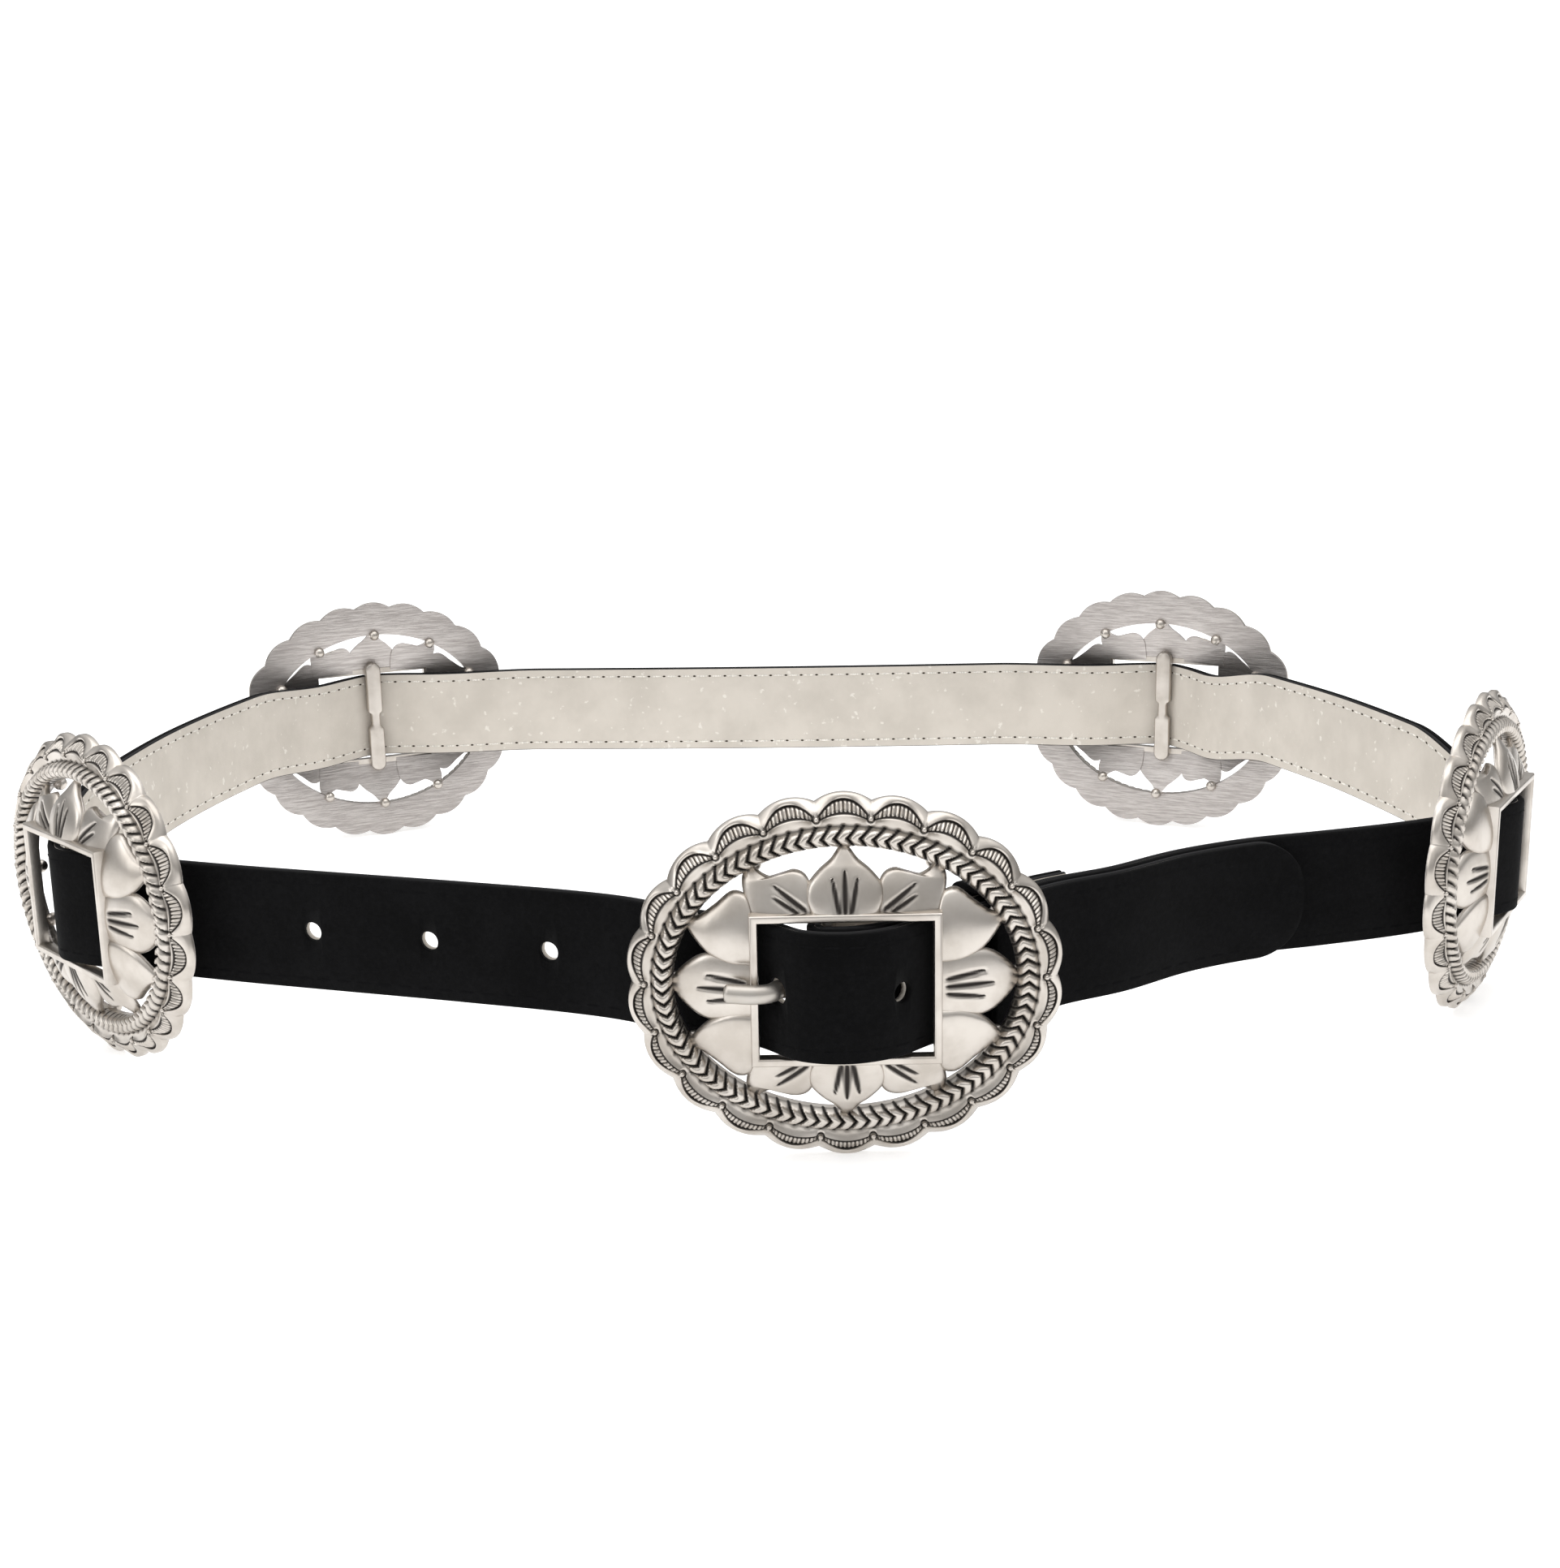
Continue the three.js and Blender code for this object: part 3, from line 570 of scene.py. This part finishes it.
def addBalls(bm):
    # behind each petal's tip, on the ring's inner edge
    size = Matrix.Diagonal((oval["backBall"] * mm,) * 3 + (1,))
    spots = []
    for petal in petals.values():
        x, y = petal["left"][-1]
        away = math.hypot(x / oval["ropeInner"][0], y / oval["ropeInner"][1])
        spots += [Vector((x * signs[0] / away, y * signs[1] / away, oval["backBallHeight"])) * mm
                  for signs in petal["copies"]]
    scatter(bm, unitBall(16, 10), [Matrix.Translation(spot) @ size for spot in spots])


# the bar behind a concho; its waist narrows and widens again between these heights
bar = {"length": 34, "width": 4.6, "waist": 2.6, "thickness": 2.6, "face": 7.2, "round": 0.45,
       "narrows": (-3.6, -2.7), "widens": (0.9, 1.8)}


def addBackBar(bm):
    half = bar["length"] / 2

    def place(share, part):
        up = math.sin(math.pi * (part - 0.5)) * half
        inEnd = clamp((half - abs(up)) / (bar["width"] / 2))
        width = bar["width"] / 2 * max(0.08, math.sqrt(1 - (1 - inEnd) ** 2))
        pinch = blendShare(*bar["narrows"], up) * (1 - blendShare(*bar["widens"], up))
        width -= (bar["width"] - bar["waist"]) / 2 * pinch
        return Vector(((2 * share - 1) * width, up, bar["face"])) * mm, 0.0

    made = mappedGrid(bm, 2, 100, place)
    faces = facesOf(made)
    wall = bmesh.ops.extrude_face_region(bm, geom=faces)["geom"]
    moved = [item for item in wall if isinstance(item, bmesh.types.BMVert)]
    bmesh.ops.translate(bm, verts=moved, vec=(0, 0, -bar["thickness"] * mm))
    rim = [edge for edge in dict.fromkeys(edge for vert in made + moved for edge in vert.link_edges)
           if len(edge.link_faces) == 2 and edge.calc_face_angle(0) > 1.2
           and abs(edge.verts[0].co.z - edge.verts[1].co.z) < 1e-7]
    bmesh.ops.bevel(bm, geom=rim, offset=bar["round"] * mm, segments=2, affect="EDGES", profile=0.5,
                    material=-1)


hinge = {"radius": 1.3, "offset": 3, "height": 7.2}


def addUprightRod(bm, radius, height, sides):
    # a rod on the hinge's axis
    middle = Matrix.Translation(Vector((-hinge["offset"], 0, hinge["height"])) * mm)
    bmesh.ops.create_cone(bm, cap_ends=True, segments=sides, radius1=radius * mm, radius2=radius * mm,
                          depth=height * mm, matrix=middle @ Matrix.Rotation(math.pi / 2, 4, "X"))


def addHingeBar(bm):
    addUprightRod(bm, hinge["radius"], oval["window"][1] + oval["bezelBand"], 24)


def castingMesh(name, behind):
    bm = bmesh.new()
    layer = bm.verts.layers.float.new("recess")
    addBezel(bm)
    for petal in petals.values():
        for signs in petal["copies"]:
            addPetal(bm, layer, petal, signs)
    addBeads(bm)
    addBalls(bm)
    behind(bm)
    addRing(bm, layer)
    return meshFrom(bm, name, 50)


def standing(mesh, place):
    centre = centreOf(place) + loopShift
    middle = Matrix.Translation((centre.x * mm, centre.y * mm, loop["middleHeight"] * mm))
    turn = Matrix.Rotation(math.radians(place["turn"]), 4, "Z")
    mesh.transform(middle @ turn @ Matrix.Rotation(math.pi / 2, 4, "X"))
    return mesh


conchoMesh = castingMesh("castConcho", addBackBar)
for place in loop["ovals"]:
    mesh = castingMesh("castBuckle", addHingeBar) if place["name"] == "buckle" else conchoMesh.copy()
    piece = link(place["name"] + "_cast", standing(mesh, place), castSilver)
    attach(piece, "root")
    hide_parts(place["name"])
print("castings made:", len(conchoMesh.vertices), "points each")


# the billet's points go along and outwards, in shares of half an oval, and the tail's of the tip's length
strap = {
    "width": 25.4, "suede": 1.4, "lining": 1.0, "gap": 0.3, "plyGap": 0.6, "corner": 0.45,
    "liningCorner": 0.35, "edgeBand": 0.12, "step": 1.0, "tipLength": 118, "tipRound": 11, "foldedEnd": 50,
    "holeDiameter": 4.2, "holeSpacing": 26.7, "holesBefore": 4, "holesAfter": 2,
    "prongHole": 5.4, "prongPlace": 14.4,
    "billetLeft": ((-1.88, -0.583), (-1.31, -0.393), (-1.04, -0.274), (-0.71, -0.045)),
    "billetRight": ((0.6, -0.01), (0.74, -0.12), (0.88, -0.225)),
    "billetTail": ((0.381, -0.131), (0.491, -0.19), (0.6264, -0.288), (0.7617, -0.352), (0.8827, -0.386)),
}
strapDepth = strap["suede"] + strap["gap"] + strap["lining"]
plyStep = strapDepth + strap["plyGap"]
foldRadius = hinge["radius"] + strap["gap"] + strapDepth
conchoCrown = bar["face"] + 4 * strap["gap"] + strapDepth
billetCrown = hinge["height"] + foldRadius + plyStep
halfOval = oval["crest"][0]
halfWindow = oval["window"][0] / 2
sill = domeLift(halfWindow + oval["bezelBand"], strap["width"] / 2) - 3 * strap["gap"]


def fromOval(place, side, out):
    turn = math.radians(place["turn"])
    return (centreOf(place) + Vector((math.cos(turn), math.sin(turn))) * side
            + Vector((math.sin(turn), -math.cos(turn))) * out)


def riseAt(spot):
    # lift of the strap at a spot, none at the two ovals that it lies between
    def passed(point):
        start = centreOf(loop["ovals"][0])
        return (math.atan2(point.y, point.x) - math.atan2(start.y, start.x)) % (2 * math.pi)

    places = loop["ovals"]
    first = max(index for index, place in enumerate(places) if passed(centreOf(place)) <= passed(spot))
    rise = places[first]["rise"] * strap["width"]
    for place in (places[first], places[(first + 1) % len(places)]):
        rise *= blendShare(0.35 * halfOval, 1.2 * halfOval, (centreOf(place) - spot).length)
    return rise


def overConcho(place):
    bend, behindRim = halfWindow / 2, halfOval * 0.68

    def fall(degrees, distance):
        return conchoCrown - distance * math.tan(math.radians(degrees))

    return [fromOval(place, -behindRim, fall(place["before"], behindRim - bend / 2)),
            fromOval(place, -bend, fall(place["before"], bend * 0.55)),
            fromOval(place, 0, conchoCrown),
            fromOval(place, bend, fall(place["after"], bend * 0.55)),
            fromOval(place, behindRim, fall(place["after"], behindRim - bend / 2))]


def middleOfSpan(place, following):
    start = fromOval(place, 0, conchoCrown)
    along = fromOval(following, 0, conchoCrown) - start
    return start + along * 0.5 + Vector((along.y, -along.x)) * place["bow"]


def outwardAt(line, index):
    along = (line[min(index + 1, len(line) - 1)] - line[max(index - 1, 0)]).normalized()
    return Vector((along.y, -along.x))


def offsetLine(line, distance):
    return [point + outwardAt(line, index) * distance for index, point in enumerate(line)]


buckle, conchos = loop["ovals"][0], loop["ovals"][1:]


def billetCourse():
    behindBezel = halfWindow + oval["bezelBand"] / 2
    shoulder = sill + (billetCrown - sill) * 0.74
    overFold = (foldRadius + plyStep + strap["plyGap"]) * math.sqrt(0.5)
    return [
        *(fromOval(buckle, side * halfOval, out * halfOval) for side, out in strap["billetLeft"]),
        fromOval(buckle, -behindBezel, sill),
        fromOval(buckle, -hinge["offset"] - overFold, hinge["height"] + overFold),
        fromOval(buckle, 0, billetCrown),
        fromOval(buckle, behindBezel / 2, shoulder),
        fromOval(buckle, behindBezel, sill),
        *(fromOval(buckle, side * halfOval, out * halfOval) for side, out in strap["billetRight"]),
        *(fromOval(buckle, side * strap["tipLength"], out * strap["tipLength"])
          for side, out in strap["billetTail"]),
    ]


def strapCourse():
    billet = smoothLine(billetCourse(), strap["step"])
    foldCentre = fromOval(buckle, -hinge["offset"], hinge["height"])
    start = next(index for index, point in enumerate(billet) if point.x > foldCentre.x)
    outer = offsetLine(billet, -plyStep)[start + 2:]
    fold = [foldCentre + Vector((math.cos(turn), math.sin(turn))) * foldRadius
            for turn in (math.pi / 2 + side / 10 * math.pi for side in range(11))]
    closed = offsetLine(outer, -(2 * strapDepth + strap["plyGap"]))
    route = [point for index, point in enumerate(closed) if index % 6 == 0
             and foldCentre.x + 2.2 * foldRadius < point.x < foldCentre.x + strap["foldedEnd"]]
    foldedEnd = smoothLine([fold[1], fold[0], *route], strap["step"])
    leaves = next(index for index, point in enumerate(foldedEnd) if point.x > foldCentre.x)
    foldedEnd = foldedEnd[leaves + 1:][::-1]
    spans = []
    for index, place in enumerate(conchos):
        spans += overConcho(place)
        if index + 1 < len(conchos):
            spans.append(middleOfSpan(place, conchos[index + 1]))
    tip = outer[-1]
    around = smoothLine([outer[-12], outer[-6], tip, *spans, billet[0], billet[4], billet[8]], strap["step"])
    fromTip = next(index for index, point in enumerate(around) if point.x > tip.x)
    untilBillet = len(around) - 1 - next(index for index, point in enumerate(reversed(around))
                                         if point.x < billet[0].x)
    whole = foldedEnd + fold + outer + around[fromTip + 1:untilBillet] + billet
    crown = min(billet, key=lambda point: point.y)
    crownIndex = whole.index(crown)
    return whole, distancesAlong(whole)[crownIndex]


course, crownDistance = strapCourse()
courseSums = distancesAlong(course)
endDistance = crownDistance + strap["tipLength"]
evenCount = round(endDistance / strap["step"])
course = [atDistance(course, courseSums, endDistance * step / evenCount) for step in range(evenCount + 1)]
courseSums = distancesAlong(course)
heights = [loop["middleHeight"] + riseAt(point) for point in course]


def onCourse(distance):
    # spot on the suede face at middle height and its outward side, a distance along from the buckle
    index = min(max(bisect.bisect_right(courseSums, crownDistance + distance), 1), len(course) - 2)
    spot = atDistance(course, courseSums, crownDistance + distance) + loopShift
    return Vector((spot.x, spot.y, heights[index])), outwardAt(course, index).to_3d()


def roundedSection(depth, height, radius, steps=4):
    # corner centres and the quarter turns round them, from the outer lower corner
    section = []
    for corner, (inwards, up) in enumerate(((0, -1), (0, 1), (1, 1), (1, -1))):
        centre = Vector((radius + inwards * (depth - 2 * radius), up * (height / 2 - radius)))
        for step in range(steps + 1):
            turn = math.pi * (1.5 - corner / 2 - step / steps / 2)
            section.append(centre + Vector((math.cos(turn), math.sin(turn))) * radius)
    return section


def withRows(section, count):
    # more points on the two long sides, so that their faces stay short
    rows = []
    for index, point in enumerate(section):
        following = section[(index + 1) % len(section)]
        rows.append(point)
        if (following - point).length > 4:
            rows += [point.lerp(following, step / count) for step in range(1, count)]
    return rows


def tipShare(back):
    # how much of the strap's height is left near its rounded end
    radius, half = strap["tipRound"], strap["width"] / 2
    if back >= radius:
        return 1.0
    return (half - radius + math.sqrt(max(0.0, radius ** 2 - (radius - back) ** 2))) / half


def addWall(bm, layer, outside, depth, radius):
    section = withRows(roundedSection(depth, strap["width"], radius, 2), 4)
    outwards = [outwardAt(course, index) for index in range(len(course))]

    def place(share, part):
        index = round(share * (len(course) - 1))
        inward, up = section[round(part * len(section)) % len(section)]
        spot = course[index] - outwards[index] * (outside + inward) + loopShift
        left = tipShare(endDistance - courseSums[index])
        edge = 1.0 if abs(up) > strap["width"] / 2 - strap["edgeBand"] else 0.0
        return Vector((spot.x, spot.y, heights[index] + up * left)) * mm, edge

    mappedGrid(bm, len(course) - 1, len(section), place, layer)
    bmesh.ops.holes_fill(bm, edges=[edge for edge in bm.edges if edge.is_boundary], sides=0)


def strapPiece(name, node, outside, depth, radius, material):
    bm = bmesh.new()
    layer = bm.verts.layers.float.new("edge")
    addWall(bm, layer, outside, depth, radius)
    piece = link(name, meshFrom(bm, name, 60), material)
    cut = piece.modifiers.new("holes", "BOOLEAN")
    cut.operation, cut.object, cut.solver = "DIFFERENCE", cutter, "EXACT"
    graph = bpy.context.evaluated_depsgraph_get()
    done = bpy.data.meshes.new_from_object(piece.evaluated_get(graph))
    piece.modifiers.clear()
    piece.data = done
    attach(piece, "root")
    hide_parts(node)


punch = {"depth": 5.2, "sides": 36, "slotHeight": 5.6, "slotPast": 3.5, "room": 0.3}


def cutterObject():
    bm = bmesh.new()
    for hole in range(-strap["holesBefore"], strap["holesAfter"] + 1):
        spot, outward = onCourse(-strap["prongPlace"] + hole * strap["holeSpacing"])
        radius = (strap["prongHole"] if hole == 0 else strap["holeDiameter"]) / 2 * mm
        spot = spot - outward * strapDepth / 2
        turn = outward.to_track_quat("Z", "Y").to_matrix().to_4x4()
        bmesh.ops.create_cone(bm, cap_ends=True, segments=punch["sides"], radius1=radius, radius2=radius,
                              depth=punch["depth"] * mm, matrix=Matrix.Translation(spot * mm) @ turn)
    slot = bmesh.ops.create_cube(bm, size=1.0)["verts"]
    centre = centreOf(buckle) + loopShift
    low, high = -hinge["offset"] - foldRadius - punch["room"], -hinge["offset"] + punch["slotPast"]
    for vert in slot:
        spot = Vector(((low + high) / 2 + vert.co.x * (high - low), vert.co.y * punch["slotHeight"],
                       hinge["height"] + vert.co.z * 2 * (foldRadius + punch["room"])))
        vert.co = Vector((centre.x + spot.x, centre.y - spot.z, loop["middleHeight"] + spot.y)) * mm
    return link("cutter", meshFrom(bm, "cutter"), blackSuede)


cutter = cutterObject()
strapPiece("suede_strap", "strap", 0.0, strap["suede"], strap["corner"], blackSuede)
inGap = strap["gap"] * 0.2  # the lining nearly closes the gap behind the suede
strapPiece("lining_strap", "lining", strap["suede"] + inGap,
           strapDepth - strap["suede"] - inGap, strap["liningCorner"], paleLining)
bpy.data.objects.remove(cutter)
print("strap made:", len(course), "points along")

# hole and its stretch size the flat dark spots painted as the shade inside the needle holes
stitch = {"pitch": 4.7, "length": 3.5, "thickness": 0.6, "fromEdge": 2.4, "start": 12.0, "end": 8,
          "hole": 0.32, "holeShadeStretch": 1.5}


def stitches(name, inward, proud, material, holes=False):
    bm = bmesh.new()
    size = (stitch["length"] / 2, proud, stitch["thickness"] / 2)
    shift = 0.0
    # holes adds flat dark spots between the stitches: painted shade of the needle holes
    if holes:
        size = (stitch["hole"] * stitch["holeShadeStretch"], proud, stitch["hole"])
        shift = stitch["pitch"] / 2
    size = Matrix.Diagonal([part * mm for part in size] + [1])
    places = []
    for number in range(int((endDistance - stitch["start"] - stitch["end"]) / stitch["pitch"])):
        distance = stitch["start"] + number * stitch["pitch"] + shift - crownDistance
        spot, outward = onCourse(distance)
        slope = (onCourse(distance + 2)[0].z - onCourse(distance - 2)[0].z) / 4
        sides = (-outward.y, outward.x, slope), tuple(outward), (0, 0, 1)
        turn = Matrix(sides).transposed().to_4x4() @ size @ Matrix.Rotation(math.pi / 2, 4, "Y")
        for up in (-1, 1):
            lift = Vector((0, 0, up * (strap["width"] / 2 - stitch["fromEdge"])))
            places.append(Matrix.Translation((spot - outward * inward + lift) * mm) @ turn)
    scatter(bm, unitBall(6, 4), places)
    piece = link(name, meshFrom(bm, name, 80), material)
    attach(piece, "root")


stitches("lining_stitches", strapDepth, 0.2, creamThread)
stitches("lining_needle_hole_shade", strapDepth, 0.06, needleHoleShade, True)
stitches("suede_stitches", 0.0, 0.05, blackThread)
print("stitches made")

keeper = {"place": 34.5, "width": 9, "thickness": 1.6, "clearance": 0.6, "play": 1.1, "round": 1.6,
          "edgeRound": 0.5}


def keeperPiece():
    bm = bmesh.new()
    layer = bm.verts.layers.float.new("edge")
    depth = 2 * plyStep + strapDepth + 2 * keeper["clearance"]
    height = strap["width"] + 2 * keeper["play"]
    rounding = keeper["round"]
    path = withRows(roundedSection(depth + keeper["thickness"], height + keeper["thickness"],
                                   rounding + keeper["thickness"] / 2, 6), 6)
    section = roundedSection(keeper["thickness"], keeper["width"], keeper["edgeRound"])
    spot, outward = onCourse(keeper["place"] + foldRadius)
    along = Vector((-outward.y, outward.x, 0))
    middle = Vector((depth / 2 + keeper["thickness"] / 2, 0))

    def place(share, part):
        index = round(share * len(path)) % len(path)
        point = path[index]
        tangent = (path[(index + 1) % len(path)] - path[index - 1]).normalized()
        out = Vector((-tangent.y, tangent.x))
        out = out if out.dot(point - middle) > 0 else -out
        inward, side = section[round(part * len(section)) % len(section)]
        around = point + out * (keeper["thickness"] / 2 - inward)
        flat = spot - outward * (around.x - keeper["clearance"] - keeper["thickness"] / 2) + along * side
        return Vector((flat.x, flat.y, flat.z + around.y)) * mm, 0.0

    mappedGrid(bm, len(path), len(section), place, layer)
    piece = link("suede_keeper", meshFrom(bm, "suede_keeper", 60), blackSuede)
    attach(piece, "root")
    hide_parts("keeper")


keeperPiece()

tongue = {"radius": 1.85, "reach": 23.2, "eye": 3.2, "eyeHeight": 5, "lift": 0.8, "endRound": 1.5,
          "endLength": 26}


def tonguePiece():
    bm = bmesh.new()
    over = oval["bezelFace"] + 0.3 + tongue["radius"]
    route = catmullRom([
        (-hinge["offset"] - tongue["eye"] * 0.7, hinge["height"]),
        (-hinge["offset"] - foldRadius, hinge["height"] - 0.2),
        (-strap["prongPlace"] * 0.87, hinge["height"] + 0.1 * over),
        (-halfWindow + tongue["radius"] * 1.2, over - tongue["radius"] * 0.45),
        (-halfWindow - oval["bezelBand"] / 2, over + tongue["radius"] * 0.2),
        (-tongue["reach"], over - 0.2),
    ], 200)
    steps = 60
    route = evenly(route, steps)

    def place(share, part):
        index = round(part * steps)
        tangent = (route[min(index + 1, steps)] - route[max(index - 1, 0)]).normalized()
        side = Vector((-tangent.y, tangent.x))
        fromEnd = min(part, 1 - part) * tongue["endLength"]
        radius = tongue["radius"] * math.sqrt(clamp(1 - (1 - clamp(fromEnd / tongue["endRound"])) ** 2, 0.0))
        turn = 2 * math.pi * share
        flat = route[index] + side * radius * math.sin(turn) * 0.92
        return Vector((flat.x, radius * math.cos(turn) + tongue["lift"] * part, flat.y)) * mm, 0.0

    mappedGrid(bm, 24, steps, place)
    bmesh.ops.remove_doubles(bm, verts=bm.verts, dist=1e-6)
    addUprightRod(bm, tongue["eye"], tongue["eyeHeight"], 32)
    piece = link("prong_tongue", standing(meshFrom(bm, "prong_tongue", 50), buckle), plainSilver)
    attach(piece, "root")
    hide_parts("tongue")


tonguePiece()
print("keeper and tongue made")

studio = {
    "sky": 0.95, "front": 0.2, "backdrop": 1.2, "floorSize": 6.0, "floorGlow": 0.45, "aim": (0, 0, 0.03),
    "lamps": [
        {"name": "overhead", "spot": (0.0, -0.1, 1.3), "size": (1.6, 1.2), "power": 9},
        {"name": "left", "spot": (-1.1, -0.7, 0.7), "size": (0.5, 0.9), "power": 3},
    ],
}


def makeFloor():
    bm = bmesh.new()
    bmesh.ops.create_grid(bm, x_segments=1, y_segments=1, size=studio["floorSize"])
    material = newMaterial("whiteFloor", {
        "Base Color": rgb(0.9, 0.9, 0.9), "Roughness": 1.0, "Specular IOR Level": 0.0,
        "Emission Color": rgb(1, 1, 1), "Emission Strength": studio["floorGlow"],
    })[0]
    link("floor", meshFrom(bm, "floor"), material)


def makeWorld():
    world = bpy.data.worlds.new("studio")
    world.use_nodes = True
    bpy.context.scene.world = world
    shade = Shade(world.node_tree)
    direction = shade.add("ShaderNodeTexCoord")
    height = shade.add("ShaderNodeSeparateXYZ", {}, {"Vector": direction}, 2)
    glow = height.smooth(-0.05, 0.75) * (studio["sky"] - studio["front"]) + studio["front"]
    seen = shade.add("ShaderNodeLightPath", output=0)
    strength = seen * (studio["backdrop"] - glow) + glow
    shade.tree.links.new(strength.socket, world.node_tree.nodes["Background"].inputs["Strength"])
    world.node_tree.nodes["Background"].inputs["Color"].default_value = rgb(1, 1, 1)


def makeSoftbox(lamp):
    data = bpy.data.lights.new(lamp["name"], "AREA")
    data.shape = "RECTANGLE"
    data.size, data.size_y = lamp["size"]
    data.energy = lamp["power"]
    softbox = bpy.data.objects.new(lamp["name"], data)
    softbox.location = lamp["spot"]
    aim = Vector(studio["aim"]) - Vector(lamp["spot"])
    softbox.rotation_euler = aim.to_track_quat("-Z", "Y").to_euler()
    bpy.context.scene.collection.objects.link(softbox)


view = {"spot": (-0.84, -498.69, 166.7), "down": 13.88, "roll": -1.09, "focus": 2521, "frame": (1922, 1932)}


def makeCamera():
    down, roll = math.radians(view["down"]), math.radians(view["roll"])
    forward = Vector((0, math.cos(down), -math.sin(down)))
    up = Vector((0, math.sin(down), math.cos(down)))
    right = Vector((1, 0, 0)) * math.cos(roll) + up * math.sin(roll)
    up = right.cross(forward)
    data = bpy.data.cameras.new("camera")
    data.sensor_width = 36
    data.lens = view["focus"] / max(view["frame"]) * data.sensor_width
    data.clip_start = 0.01
    camera = bpy.data.objects.new("camera", data)
    turn = Matrix((right, up, -forward)).transposed().to_4x4()
    camera.matrix_world = Matrix.Translation(Vector(view["spot"]) * mm) @ turn
    bpy.context.scene.collection.objects.link(camera)
    bpy.context.scene.camera = camera


makeFloor()
makeWorld()
for lamp in studio["lamps"]:
    makeSoftbox(lamp)
makeCamera()
bpy.context.scene.view_settings.view_transform = "Standard"
print("stage made")
